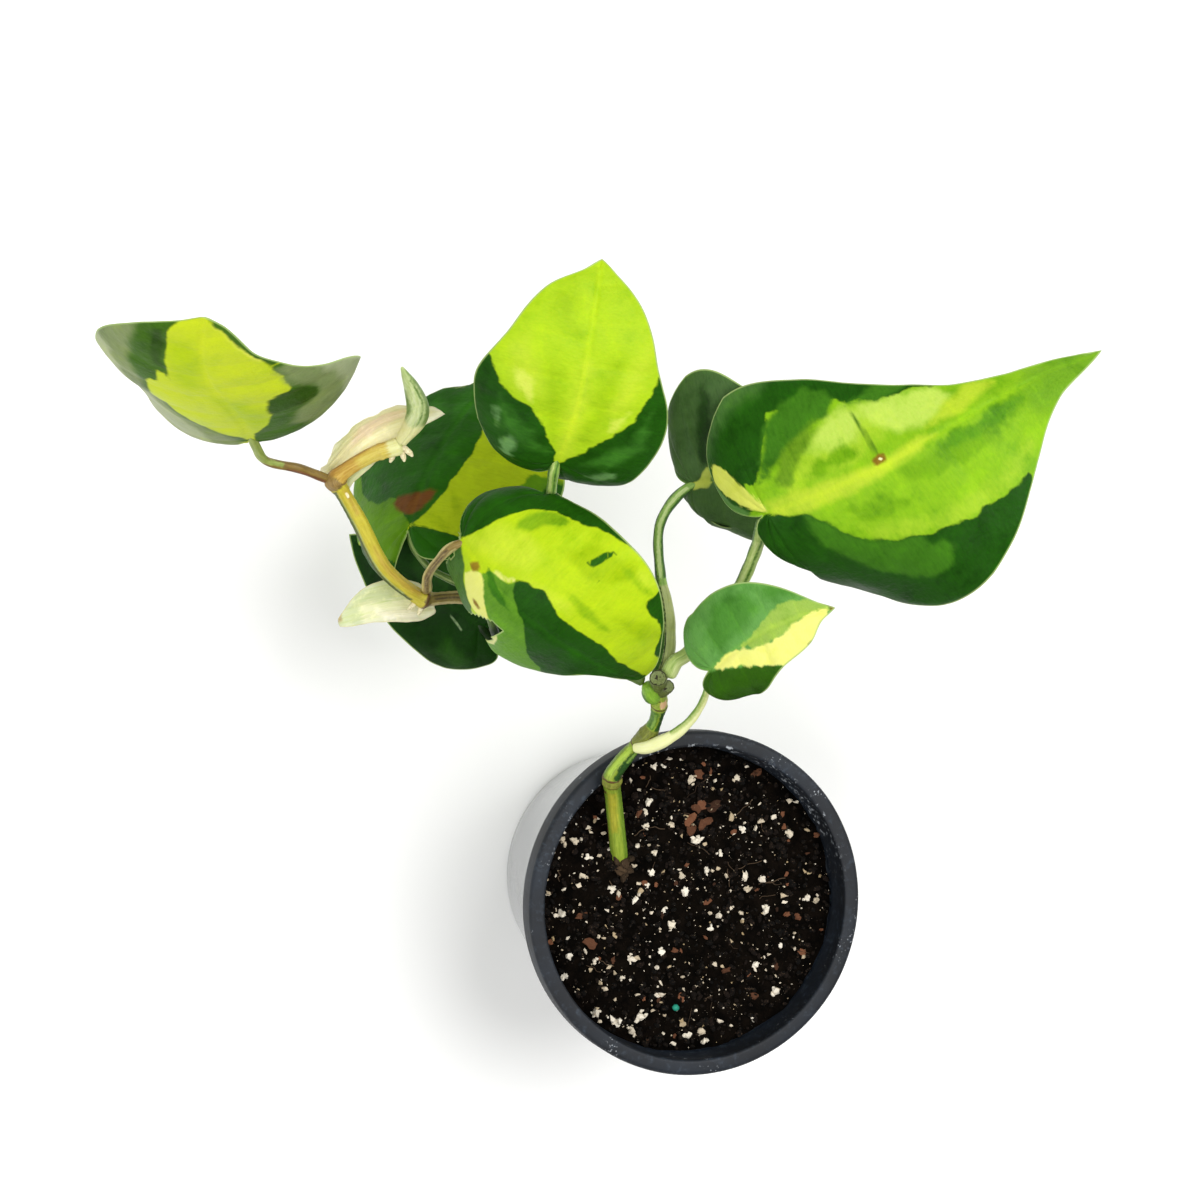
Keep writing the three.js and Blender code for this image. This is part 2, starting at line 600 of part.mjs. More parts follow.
// The blade, with its notch opened where the stalk comes through
function leafGeometry(leaf) {
  const rowsPerSide = leaf.length > LONG_LEAF ? LONG_LEAF_ROWS : BLADE_ROWS;
  const blade = toSolid(bladeGeometry(leaf, rowsPerSide, BLADE_COLUMNS));
  const room = stalkPath(leaf).map(([x, y, z, radius]) => [x, y, z, radius + STALK_ROOM]);
  const opened = blade.subtract(toSolid(tubeGeometry(room, STALK_SIDES, STALK_STEPS)));
  return toGeometry(opened.subtract(toSolid(tipRoom(room))));
}

const plant = new THREE.Group();

function addMesh(name, geometry, colour, roughness) {
  const material = new THREE.MeshStandardMaterial({ color: COLOURS[colour], roughness, metalness: 0 });
  const mesh = new THREE.Mesh(geometry, material);
  mesh.name = name;
  plant.add(mesh);
}

addMesh("pot", potGeometry(), "pot", 0.5);
addMesh("soil", soilGeometry(), "soil", 0.95);
addMesh("main_stem", stemGeometry(), "stem", 0.5);
addMesh("side_shoot", shootGeometry(), "shoot", 0.5);
addMesh("new_leaf", tubeGeometry(NEW_LEAF_PATH, SHOOT_SIDES, NEW_LEAF_STEPS), "newLeaf", 0.5);
for (const [name, bract] of Object.entries(BRACTS)) {
  addMesh(`bract_${name}`, bladeGeometry(bract, BRACT_ROWS, BRACT_COLUMNS), bract.colour, 0.55);
}
for (const [name, leaf] of Object.entries(LEAVES)) {
  addMesh(`leaf_${name}`, leafGeometry(leaf), leaf.colour, 0.4);
  addMesh(`stalk_${name}`, tubeGeometry(stalkPath(leaf), STALK_SIDES, STALK_STEPS), leaf.stalkColour, 0.45);
}

export default plant;
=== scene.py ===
# Looks of the potted brasil philodendron: fine leaves, stems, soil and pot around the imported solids.
# Metres and +Z up in Blender. Sizes below are in millimetres unless they say otherwise.

import math
import random

import bmesh
import bpy
import numpy as np
from mathutils import Matrix, Vector, noise


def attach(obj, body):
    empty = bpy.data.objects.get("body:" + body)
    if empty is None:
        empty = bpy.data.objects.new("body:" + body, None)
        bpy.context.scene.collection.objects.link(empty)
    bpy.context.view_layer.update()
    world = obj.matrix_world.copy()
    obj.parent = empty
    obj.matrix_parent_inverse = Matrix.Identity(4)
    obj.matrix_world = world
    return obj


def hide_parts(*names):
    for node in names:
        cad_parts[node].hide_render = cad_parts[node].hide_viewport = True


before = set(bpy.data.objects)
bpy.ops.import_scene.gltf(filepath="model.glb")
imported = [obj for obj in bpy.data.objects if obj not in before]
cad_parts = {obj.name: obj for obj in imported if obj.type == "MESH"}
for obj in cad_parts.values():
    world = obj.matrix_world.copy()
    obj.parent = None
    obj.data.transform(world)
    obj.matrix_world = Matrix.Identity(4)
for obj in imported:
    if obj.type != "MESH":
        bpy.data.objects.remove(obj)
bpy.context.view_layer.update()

MM = 0.001
# Depth in mm of a point that lies in no zone of its piece
OUTSIDE = -30.0

# Camera, where the photograph was taken from
CAMERA_PLACE = (-245.1, 109.1, 849.5)
CAMERA_TILT = (15.66, -1.51)
TOWARD_CAMERA = (-0.2517, 0.0375, 0.9671)
LENS = 84
SENSOR = 36

# Pot and soil, as in the solids
POT_HEIGHT = 80
POT_RIM_RADIUS = 50
POT_BASE_RADIUS = 37.5
POT_WALL = 1.2
POT_FLOOR = 2.5
RIM_HEIGHT = 9
RIM_WIDTH = 4.6
SOIL_LEVEL = 70

# Leaves, shaped as the solids are: place and turn of the joint, bends, outline by bearings about the
# joint, torn pieces, and the stalk's course. The small leaf's stalk first wraps the front of the stem.
BEARINGS = (0, 5, 15, 32, 55, 85, 110, 130, 150, 165, 180)
NOTCH_DEPTH = 2
LEAVES = {
    "far": dict(
        joint=(-135, 132, 118), heading=139, pitch=71, roll=-33, length=68,
        sag=24, lobe=45, twist=-11, fold=(-7, 14), curl=(58, 53), hang=(15, 8), sway=(3.5, -2),
        left=(67, 65, 58, 43, 32, 28, 26, 17, 8), right=(64.5, 53, 44, 41, 36, 29, 23, 20, 8),
        stalk=((-112.3, 122, 101.8), (-119.4, 124.4, 104), (-129, 126.4, 107), (-133.2, 130.4, 114.6)),
    ),
    "middle": dict(
        joint=(-79, 105.5, 122), heading=-69, pitch=29, roll=45, length=75,
        sag=99, lobe=105, twist=2, fold=(4, -9), curl=(44, 57), hang=(51, 47), sway=(2.5, -1),
        left=(73, 65, 56, 42, 31, 31, 29, 21, 6), right=(57, 53, 49, 38, 29, 30, 23, 11, 4),
        torn=(
            ((-11, 21.8), (-9.8, 24), (-10.2, 26.4), (-14, 27), (-17.5, 27), (-24, 28.4), (-40, 30),
             (-40, 14), (-22, 15.5), (-15.5, 18.4), (-13, 20.4)),
            ((-0.4, -2.4), (-1.6, -0.4), (-4, 0.6), (-8, 0.4), (-12, -1.5), (-18, -5), (-36, -12),
             (-36, -32), (-0.4, -32)),
        ),
        stalk=((-83.1, 91.6, 95.4), (-84.4, 95.6, 103), (-83.4, 100, 112), (-81, 103.6, 118.6)),
    ),
    "top": dict(
        joint=(-56, 126, 133), heading=77, pitch=50, roll=5, length=59,
        sag=76, lobe=81, twist=-1, fold=(2, 9), curl=(40, 33), hang=(28, -9), sway=(1, -0.5),
        left=(55, 51, 41, 35, 26, 22, 19, 14, 5), right=(55, 49, 38, 32, 24, 21, 19, 15, 4),
        stalk=(
            (-48.4, 81.4, 103.4), (-51, 96, 109.5), (-54.4, 113, 119.6), (-55.8, 120.6, 127.4),
            (-56.2, 124, 131),
        ),
    ),
    "large": dict(
        joint=(-0.5, 112.5, 143), heading=30, pitch=34, roll=-9, length=107,
        sag=57, lobe=123, twist=-36, fold=(-4, -12), curl=(27, 29), hang=(10, 67), sway=(-0.5, -1.5),
        left=(73, 56, 45, 40, 36, 30, 25, 15, 6), right=(86, 74, 66, 56, 40, 26, 12, 7, 4),
        stalk=(
            (-18.7, 68.6, 112.4), (-17.2, 71.8, 113.8), (-14.6, 73.6, 114.8), (-5, 84, 118), (0, 94.4, 121),
            (1.2, 104, 129.4), (0, 110.6, 138.6),
        ),
    ),
    "dark": dict(
        joint=(-13.5, 120.5, 118), heading=2, pitch=40, roll=13, length=58,
        sag=80, lobe=148, twist=-18, fold=(7, -7), curl=(19, 34), hang=(8, 59), sway=(0, 1),
        left=(53, 45, 31, 30, 31, 22, 18, 12, 4), right=(53, 45, 35, 29, 25, 23, 19, 12, 4),
        stalk=(
            (-19.9, 67.6, 107.8), (-18.2, 74.5, 108.6), (-18.4, 85.1, 109.6), (-20.7, 95.7, 111),
            (-21.4, 109.7, 113), (-16.6, 118, 115.8),
        ),
    ),
    "small": dict(
        joint=(-11, 70.5, 128), heading=34, pitch=44, roll=-12, length=38,
        sag=42, lobe=65, twist=2, fold=(4, 7), curl=(26, 31), hang=(16, 81), sway=(3, 0),
        left=(34, 30, 25, 20, 17, 16, 14, 8, 4), right=(33, 29, 21, 18, 17, 15, 14, 11, 4),
        stalk=(
            (-22.6, 46.6, 93.6), (-20.3, 47, 96.4), (-17.2, 48.6, 99.6), (-13.7, 51.2, 103),
            (-11, 54.8, 107.2), (-9.4, 59.6, 112.6), (-9.6, 64.2, 118.6), (-10.8, 68.2, 124.6),
        ),
    ),
    "back": dict(
        joint=(-86, 109.5, 86), heading=69, pitch=-14, roll=-52, length=72,
        sag=36, lobe=71, twist=20, fold=(-2, -2), curl=(24, 29), hang=(30, 24), sway=(-1, 1),
        left=(52, 49, 44, 40, 37, 32, 29, 25, 8), right=(66, 55, 48, 46, 34, 23, 15, 10, 4),
        stalk=((-67.5, 91, 92.4), (-74.5, 94, 89), (-81, 98, 86.5), (-85.2, 105.6, 84.2)),
    ),
    "low": dict(
        joint=(-60, 80.4, 58), heading=149, pitch=-1, roll=-24, length=46,
        sag=26, lobe=36, twist=1, fold=(2, 5), curl=(23, 15), hang=(23, 15), sway=(-0.5, -0.5),
        left=(42, 35, 28, 23, 21, 18, 16, 14, 7), right=(42, 35, 29, 25, 21, 19, 17, 15, 12),
        stalk=((-65, 85.6, 93), (-61.5, 79, 86), (-56.6, 75, 72), (-57, 76.6, 62), (-58.2, 79, 57.6)),
    ),
}

# Bracts: boat-shaped sheets, described as leaves are
BRACTS = {
    "large": dict(
        joint=(-109.3, 123.5, 97), heading=27.6, pitch=17, roll=23.5, length=34.4,
        sag=6, lobe=0, twist=0, fold=(19.5, 29.5), curl=(-54, -46), hang=(0, 0), sway=(4.9, 0),
        left=(33.4, 29.6, 20.6, 12.4, 6, 5, 4, 3, 3), right=(28, 20, 12.5, 7.6, 7, 5.5, 4.3, 4, 3),
    ),
    "small": dict(
        joint=(-82.1, 87.6, 87.2), heading=189.5, pitch=4.7, roll=-3, length=24.6,
        sag=8, lobe=0, twist=0, fold=(15, 6.5), curl=(-38, -32), hang=(0, 0), sway=(-1.4, 0),
        left=(25, 15.7, 10.2, 6.7, 4.4, 4, 4, 3, 3), right=(22.6, 19.8, 14.2, 8.8, 5.7, 4, 4, 3.6, 2.8),
    ),
}

# Middle lines of the stems with the radius at each point, as in the solids
STEM_PATH = (
    (-17.6, 1, 52, 2.4), (-19, 7, 62.5, 2.6), (-20.6, 13.2, 69.4, 2.7), (-22.8, 22, 74.2, 2.7),
    (-24.8, 30.6, 78.4, 2.6), (-26.6, 35.6, 83, 2.7), (-26.9, 36.8, 84.2, 3.1), (-27.1, 38.4, 85.4, 2.7),
    (-24.3, 43.4, 88.5, 2.5), (-22.4, 46.4, 91, 2.2), (-20.9, 48.5, 93, 2.7), (-19.6, 50.6, 95.5, 2.8),
    (-18.6, 53.6, 98, 2.1), (-18.5, 56.3, 100.6, 2.1), (-18.7, 59, 103.2, 2.5), (-19, 60.8, 105, 2.2),
    (-19.9, 63.2, 108, 2.2), (-20.5, 64.7, 110, 2),
)
BULB_PATH = ((-19.8, 60.8, 105, 1.5), (-22.1, 62.6, 107.5, 2.7), (-23.5, 64.6, 109.6, 2.1))
STUB_PATHS = (
    ((-20.6, 64.6, 109.5, 2.1), (-21.6, 66.2, 112.4, 2.4), (-22.6, 67.5, 115, 2.4)),
    ((-19.7, 63.4, 108.5, 1.9), (-19.3, 65.1, 113.5, 1.9)),
)
SHOOT_PATH = (
    (-25.4, 66.4, 109, 1.4), (-36, 72.1, 105.6, 1.8), (-46.6, 77.8, 102, 1.9), (-48.2, 78.6, 101.4, 2.5),
    (-49.8, 79.4, 100.8, 1.9), (-57.3, 83.6, 98, 1.9), (-64, 86.8, 95.6, 1.8), (-65.4, 87.3, 95.2, 2.4),
    (-67, 87.8, 94.8, 1.8), (-73.4, 89.4, 93.4, 1.7), (-81.4, 89, 92.6, 1.9), (-83.4, 89.2, 92.8, 2.7),
    (-85.4, 90, 93.2, 2.2), (-94.7, 97.1, 95.4, 2.2), (-102.7, 110.8, 98.4, 2.2), (-107.6, 118.6, 100.4, 2.1),
    (-109.4, 121.4, 101.4, 2.8), (-107.4, 123.8, 102.6, 2.2), (-100, 128.4, 105, 2.1),
    (-93.4, 130.6, 107, 2.5),
)
NEW_LEAF_PATH = (
    (-92.5, 132, 108.3, 1.7), (-90, 137, 113.4, 2.9), (-90, 141, 117.6, 3), (-92.6, 145.4, 122.4, 2.1),
    (-95.4, 148.8, 126.6, 1.1), (-96.6, 150.4, 128.4, 0.5),
)
# Stubs of air roots: point on the shoot, direction, length
ROOT_NUBS = (
    ((-93.4, 130.6, 107), (0.5, -1, -0.3), 4.4),
    ((-94.4, 130.4, 106.6), (-0.2, -1, -0.4), 4.2),
    ((-92.6, 130.6, 107.2), (1, -0.8, -0.2), 4),
    ((-109.2, 121.2, 101.4), (0.7, -1, 0.1), 5.2),
    ((-83.4, 89.2, 92.8), (-0.3, -1, -0.2), 4.6),
    ((-84.6, 89.6, 93), (-0.9, -1, -0.2), 4.4),
)

# Fineness of the meshes
BLADE_ROWS = 110
BLADE_COLUMNS = 30
BRACT_ROWS = 70
BRACT_COLUMNS = 16
POT_AROUND = 180
SOIL_RINGS = 110
SOIL_AROUND = 300
# Blade and bract: thickness, how far in the margin is rounded, veins and waves
BLADE_THICKNESS = 0.5
BRACT_THICKNESS = 0.32
MARGIN = 2.5
MIDRIB_WIDTH = 0.8
VEIN_DEPTH = 0.32
VEIN_WIDTH = 0.16
VEIN_SHIFT = 0.25
WAVINESS = 0.5
# How a tube's round end closes, as shares of its radius
CAP_SHARES = (0.3, 0.6, 0.85)


# Meshes

def add_piece(name, points, faces, material, replaced=(), smooth=True):
    """A mesh object from points in millimetres, riding on the plant's one body."""
    mesh = bpy.data.meshes.new(name)
    mesh.from_pydata((np.asarray(points) * MM).tolist(), [], faces)
    mesh.validate()
    piece = bpy.data.objects.new(name, mesh)
    bpy.context.collection.objects.link(piece)
    mesh.materials.append(material)
    if smooth:
        mesh.shade_smooth()
    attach(piece, "root")
    if replaced:
        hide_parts(*replaced)
    return piece


def add_attribute(piece, name, values):
    """Keeps one vector for each point of a mesh, for its material to read."""
    attribute = piece.data.attributes.new(name, "FLOAT_VECTOR", "POINT")
    attribute.data.foreach_set("vector", np.asarray(values, dtype=np.float32).ravel())


def smoothstep(value, low, high):
    t = np.clip((value - low) / (high - low), 0, 1)
    return t * t * (3 - 2 * t)


def fractal(points, size, octaves=3, seed=0.0):
    """Smooth noise about 0 for an array of points, its largest features about size across."""
    shift = Vector((seed, 2.7 * seed, 5.1 * seed))
    values = [noise.fractal(Vector(p) / size + shift, 1.0, 2.0, octaves) for p in points]
    return np.array(values)


# Leaf shape

def reach(distances, bearing):
    """Distance from the joint to the outline at bearings, smooth through the measured ones."""
    bearings = np.array(BEARINGS, dtype=float)
    distances = np.array(distances, dtype=float)
    before = np.maximum(np.arange(len(bearings)) - 1, 0)
    after = np.minimum(np.arange(len(bearings)) + 1, len(bearings) - 1)
    slopes = (distances[after] - distances[before]) / (bearings[after] - bearings[before])
    i = np.clip(np.searchsorted(bearings, bearing, side="right") - 1, 0, len(bearings) - 2)
    step = bearings[i + 1] - bearings[i]
    t = (bearing - bearings[i]) / step
    return (
        distances[i] * (1 + 2 * t) * (1 - t) ** 2 + slopes[i] * step * t * (1 - t) ** 2
        + distances[i + 1] * t * t * (3 - 2 * t) - slopes[i + 1] * step * t * t * (1 - t)
    )


def half_outline(leaf, side, count):
    """Half of the outline as flat points evenly spaced from the notch to the tip."""
    distances = (leaf["length"],) + leaf["left" if side > 0 else "right"] + (NOTCH_DEPTH,)
    bearing = np.linspace(180, 0, 721)
    distance = reach(distances, bearing)
    angle = np.radians(bearing)
    dense = np.stack([side * distance * np.sin(angle), distance * np.cos(angle)], -1)
    lengths = np.concatenate([[0], np.cumsum(np.linalg.norm(np.diff(dense, axis=0), axis=1))])
    targets = np.linspace(0, lengths[-1], count + 1)
    return np.stack([np.interp(targets, lengths, dense[:, axis]) for axis in (0, 1)], -1)


def turn(points, axis, degrees):
    rotation = Matrix.Rotation(math.radians(degrees), 3, Vector(axis))
    return points @ np.array(rotation).T


def blade_surface(leaf, flat):
    """Where flat points of the blade lie in the bent and turned leaf."""
    length = leaf["length"]
    steps = 90
    pace = 1.5 * length / steps
    along = -0.5 * length + pace * np.arange(steps + 1)
    slope = np.radians(
        leaf["pitch"] - leaf["sag"] * np.clip(along / length, 0, 1)
        + leaf["lobe"] * np.clip(-along / (0.3 * length), 0, 2)
    )

    def add_up(values):
        total = np.concatenate([[0], np.cumsum(0.5 * pace * (values[1:] + values[:-1]))])
        return total - total[steps // 3]

    x, y = flat[:, 0], flat[:, 1]
    place = np.clip(y, along[0], along[-1])
    forward = np.interp(place, along, add_up(np.cos(slope)))
    up = np.interp(place, along, add_up(np.sin(slope)))
    tilt = np.interp(place, along, slope)
    half = np.where(x >= 0, 0, 1)
    beside_joint = np.clip(1 - y / (0.45 * length), 0, 1)
    fold = np.radians(np.array(leaf["fold"], dtype=float)[half])
    hang = np.array(leaf["hang"], dtype=float)[half] * beside_joint
    curl = np.array(leaf["curl"], dtype=float)[half] + hang
    bend = np.radians(curl) / (0.5 * length)
    bend = np.where(np.abs(bend) < 1e-6, 1e-6, bend)
    across = np.abs(x)
    out = (np.sin(fold) - np.sin(fold - bend * across)) / bend
    rise = (np.cos(fold - bend * across) - np.cos(fold)) / bend
    ahead = np.clip(y / length, 0, 1)
    bow = leaf["sway"][0] * np.sin(math.pi * ahead) + leaf["sway"][1] * np.sin(2 * math.pi * ahead)
    twist = math.radians(leaf["twist"]) * np.clip(y / length, -0.3, 1)
    zero = np.zeros_like(x)
    side = np.stack([zero, zero + 1, zero], -1)
    normal = np.stack([-np.sin(tilt), zero, np.cos(tilt)], -1)
    cos, sin = np.cos(twist)[:, None], np.sin(twist)[:, None]
    sideways = np.where(x >= 0, out, -out) + bow
    points = np.stack([forward, zero, up], -1)
    points = points + (side * cos + normal * sin) * sideways[:, None]
    points = points + (normal * cos - side * sin) * rise[:, None]
    pitch = math.radians(leaf["pitch"])
    points = turn(points, (math.cos(pitch), 0, math.sin(pitch)), leaf["roll"])
    points = turn(points, (0, 0, 1), leaf["heading"])
    return points + np.array(leaf["joint"])


def blade_grid(leaf, rows, columns):
    """Flat points from the midrib to the outline along the side veins, and the faces between them.

    The midrib's points are shared by the two halves. Returns flat points, veins (row, column share and
    side) and faces."""
    flat, veins, faces = [], [], []
    seen = {}
    for side in (1, -1):
        edge = half_outline(leaf, side, rows)
        grid = np.zeros((rows + 1, columns + 1), dtype=int)
        for i in range(rows + 1):
            root = leaf["length"] * min(max((i / rows - 0.3) / 0.7, 0), 1)
            for j in range(columns + 1):
                share = j / columns
                x, y = edge[i][0] * share, root + (edge[i][1] - root) * share
                key = (round(x, 4), round(y, 4))
                if key not in seen:
                    seen[key] = len(flat)
                    flat.append((x, y))
                    veins.append((i / rows, share, side))
                grid[i, j] = seen[key]
        for i in range(rows):
            for j in range(columns):
                ring = [grid[i, j], grid[i, j + 1], grid[i + 1, j + 1], grid[i + 1, j]]
                if side > 0:
                    ring.reverse()
                face = list(dict.fromkeys(int(v) for v in ring))
                if len(face) > 2:
                    faces.append(face)
    return np.array(flat), np.array(veins), faces


def point_normals(points, faces):
    normals = np.zeros_like(points)
    for face in faces:
        a, b, c = points[face[0]], points[face[1]], points[face[2]]
        d = points[face[-1]]
        normal = np.cross(b - a, c - a) + np.cross(c - a, d - a)
        normals[face] += normal
    length = np.linalg.norm(normals, axis=1, keepdims=True)
    return normals / np.maximum(length, 1e-9)


def polygon_depth(flat, polygon):
    """Signed distance of flat points to a polygon's outline, positive inside."""
    corners = np.array(polygon, dtype=float)
    inside = np.zeros(len(flat), dtype=bool)
    nearest = np.full(len(flat), 1e9)
    for a, b in zip(corners, np.roll(corners, -1, axis=0)):
        edge = b - a
        share = np.clip(((flat - a) @ edge) / (edge @ edge), 0, 1)
        nearest = np.minimum(nearest, np.linalg.norm(flat - (a + share[:, None] * edge), axis=1))
        crosses = (a[1] > flat[:, 1]) != (b[1] > flat[:, 1])
        with np.errstate(divide="ignore", invalid="ignore"):
            at = a[0] + (flat[:, 1] - a[1]) / (b[1] - a[1]) * (b[0] - a[0])
        inside ^= crosses & (flat[:, 0] < at)
    return np.where(inside, nearest, -nearest)


def zone_depth(flat, polygons):
    """Depth in mm of flat points inside the nearest of some polygons."""
    depth = np.full(len(flat), OUTSIDE)
    for polygon in polygons:
        depth = np.maximum(depth, polygon_depth(flat, polygon))
    return np.clip(depth, OUTSIDE, -OUTSIDE)


# Blades

def blade_relief(leaf, flat, veins, veins_per_side, seed):
    """Height of the upper face over the smooth leaf: sunken midrib and side veins, and a wavy margin."""
    across = np.abs(flat[:, 0])
    share = veins[:, 1]
    midrib = -VEIN_DEPTH * np.exp(-(across / MIDRIB_WIDTH) ** 2) * (flat[:, 1] < leaf["length"] * 0.93)
    phase = veins[:, 0] * veins_per_side + VEIN_SHIFT * veins[:, 2]
    from_vein = np.abs(phase - np.round(phase)) * 2
    fade = smoothstep(share, 0.02, 0.15) * (1 - smoothstep(share, 0.75, 1.0))
    side_veins = -0.55 * VEIN_DEPTH * np.exp(-(from_vein / VEIN_WIDTH) ** 2) * fade
    quilting = -0.35 * VEIN_DEPTH * np.cos(np.pi * from_vein) * fade
    points = np.stack([flat[:, 0], flat[:, 1], np.full(len(flat), seed)], -1)
    wave = WAVINESS * fractal(points, 16, 2, seed) * smoothstep(share, 0.3, 1.0)
    small = 0.12 * fractal(points, 5, 2, seed + 3)
    return midrib + side_veins + quilting + wave + small


def cut_out(flat, veins, faces, polygon):
    """The grid's flat points, veins and faces without the faces whose middle lies in a polygon."""
    middles = np.array([flat[face].mean(axis=0) for face in faces])
    kept = [face for face, depth in zip(faces, polygon_depth(middles, polygon)) if depth < 0]
    used = sorted({v for face in kept for v in face})
    renamed = {old: new for new, old in enumerate(used)}
    return flat[used], veins[used], [[renamed[v] for v in face] for face in kept]


def border_edges(faces):
    """Edges that only one face has, in that face's direction."""
    edges = {(face[i - 1], face[i]) for face in faces for i in range(len(face))}
    return sorted(edge for edge in edges if (edge[1], edge[0]) not in edges)


def blade_mesh(name, leaf, material, replaced, thickness, rows, columns, relief, layers):
    """A thin closed blade with a rounded margin, and the attributes that its material reads."""
    flat, veins, faces = blade_grid(leaf, rows, columns)
    for polygon in leaf.get("torn", ()):
        flat, veins, faces = cut_out(flat, veins, faces, polygon)
    border = border_edges(faces)
    rim = sorted({v for edge in border for v in edge})
    place_in_rim = {v: i for i, v in enumerate(rim)}
    middle = blade_surface(leaf, flat)
    normals = point_normals(middle, faces)
    middle = middle + normals * relief(flat, veins)[:, None]
    edge_distance = np.full(len(flat), 1e9)
    edge = flat[rim]
    for i in range(0, len(flat), 2000):
        gaps = np.linalg.norm(flat[i:i + 2000, None] - edge[None], axis=2)
        edge_distance[i:i + 2000] = gaps.min(axis=1)
    half = 0.5 * thickness * (0.35 + 0.65 * smoothstep(edge_distance, 0, MARGIN))
    upper = middle + normals * half[:, None]
    lower = middle - normals * half[:, None]
    count = len(flat)
    away = np.zeros_like(middle)
    for a, b in border:
        side = unit(np.cross(middle[b] - middle[a], normals[a]))
        away[a] += side
        away[b] += side
    away = away[rim] / np.maximum(np.linalg.norm(away[rim], axis=1, keepdims=True), 1e-9)
    edge_middle = middle[rim] + away * (0.4 * half[rim])[:, None]
    points = np.concatenate([upper, lower, edge_middle])
    all_faces = [list(face) for face in faces]
    all_faces += [[v + count for v in reversed(face)] for face in faces]
    for a, b in border:
        c, d = 2 * count + place_in_rim[a], 2 * count + place_in_rim[b]
        all_faces.append([b, a, c, d])
        all_faces.append([d, c, a + count, b + count])
    piece = add_piece(name, points, all_faces, material, replaced)
    sides = np.repeat([1, -1, 0], [count, count, len(rim)])
    every = np.concatenate([np.arange(count), np.arange(count), rim])
    add_attribute(piece, "flat", np.stack([flat[every, 0], flat[every, 1], sides], -1))
    add_attribute(piece, "vein", np.stack([veins[every, 0], veins[every, 1], edge_distance[every]], -1))
    add_zones(piece, [zone_depth(flat[every], layer[3:]) for layer in layers])


# Stems

def smooth_path(path, steps):
    """Points [x, y, z, radius] along a smooth line through the given ones, at even steps of its parameter."""
    points = np.array(path, dtype=float)
    result = []
    last = len(points) - 1
    for i in range(steps + 1):
        place = last * i / steps
        k = min(int(place), last - 1)
        w = place - k
        before = points[k - 1] if k > 0 else 2 * points[0] - points[1]
        after = points[k + 2] if k + 2 <= last else 2 * points[last] - points[last - 1]
        start, end = points[k], points[k + 1]
        d0 = max(np.linalg.norm(start[:3] - before[:3]) ** 0.5, 1e-4)
        d1 = max(np.linalg.norm(end[:3] - start[:3]) ** 0.5, 1e-4)
        d2 = max(np.linalg.norm(after[:3] - end[:3]) ** 0.5, 1e-4)
        t1 = d1 * ((start - before) / d0 - (end - before) / (d0 + d1) + (end - start) / d1)
        t2 = d1 * ((end - start) / d1 - (after - start) / (d1 + d2) + (after - end) / d2)
        result.append(
            (2 * w ** 3 - 3 * w ** 2 + 1) * start + (w ** 3 - 2 * w ** 2 + w) * t1
            + (3 * w ** 2 - 2 * w ** 3) * end + (w ** 3 - w ** 2) * t2
        )
    return np.array(result)


def sweep(path, sides, steps, shape=None, round_ends=(0.5, 0.5)):
    """A closed tube along a path. shape(along, angle, radius) may change the radius.

    Returns points, faces and for each point its facts: millimetres along the path, to the right of it
    and in front of it as the camera looks, and 1 on the end caps."""
    spine = smooth_path(path, steps)
    centres, radii = spine[:, :3], spine[:, 3]
    tangents = np.gradient(centres, axis=0)
    tangents /= np.linalg.norm(tangents, axis=1, keepdims=True)
    along = np.concatenate([[0], np.cumsum(np.linalg.norm(np.diff(centres, axis=0), axis=1))])
    angles = 2 * math.pi * np.arange(sides) / sides
    cos, sin = np.cos(angles)[:, None], np.sin(angles)[:, None]
    points, facts = [], []
    up = np.array([0.0, 0.0, 1.0])
    for i in range(steps + 1):
        up = unit(up - tangents[i] * (up @ tangents[i]))
        right = unit(np.cross(tangents[i], TOWARD_CAMERA))
        front = np.cross(right, tangents[i])
        ends = []
        if i == 0:
            ends = [(share, -round_ends[0]) for share in CAP_SHARES] + [(1, 0)]
        elif i == steps:
            ends = [(1, 0)] + [(share, round_ends[1]) for share in reversed(CAP_SHARES)]
        for share, bulge in ends or [(1, 0)]:
            size = radii[i] * share * np.ones(sides)
            if shape is not None:
                size = size * shape(along[i], angles, radii[i]) / radii[i]
            offset = size[:, None] * (up * cos + np.cross(tangents[i], up) * sin)
            depth = radii[i] * bulge * (1 - share ** 2) ** 0.5
            points.append(centres[i] + tangents[i] * depth + offset)
            on_cap = np.full(sides, bulge != 0)
            facts.append(np.stack([np.full(sides, along[i]), offset @ right, offset @ front, on_cap], -1))
    count = len(points)
    points = np.concatenate(points)
    facts = np.concatenate(facts)
    tips = [
        centres[0] - tangents[0] * radii[0] * round_ends[0],
        centres[-1] + tangents[-1] * radii[-1] * round_ends[1],
    ]
    points = np.concatenate([points, tips])
    facts = np.concatenate([facts, [[0, 0, 0, 1], [along[-1], 0, 0, 1]]])
    faces = []
    for i in range(count - 1):
        for k in range(sides):
            a, b = i * sides + k, i * sides + (k + 1) % sides
            faces.append([a, b, b + sides, a + sides])
    for k in range(sides):
        n = (k + 1) % sides
        faces.append([count * sides, n, k])
        faces.append([count * sides + 1, (count - 1) * sides + k, (count - 1) * sides + n])
    return points, faces, facts


def unit(vector):
    return vector / max(np.linalg.norm(vector), 1e-9)


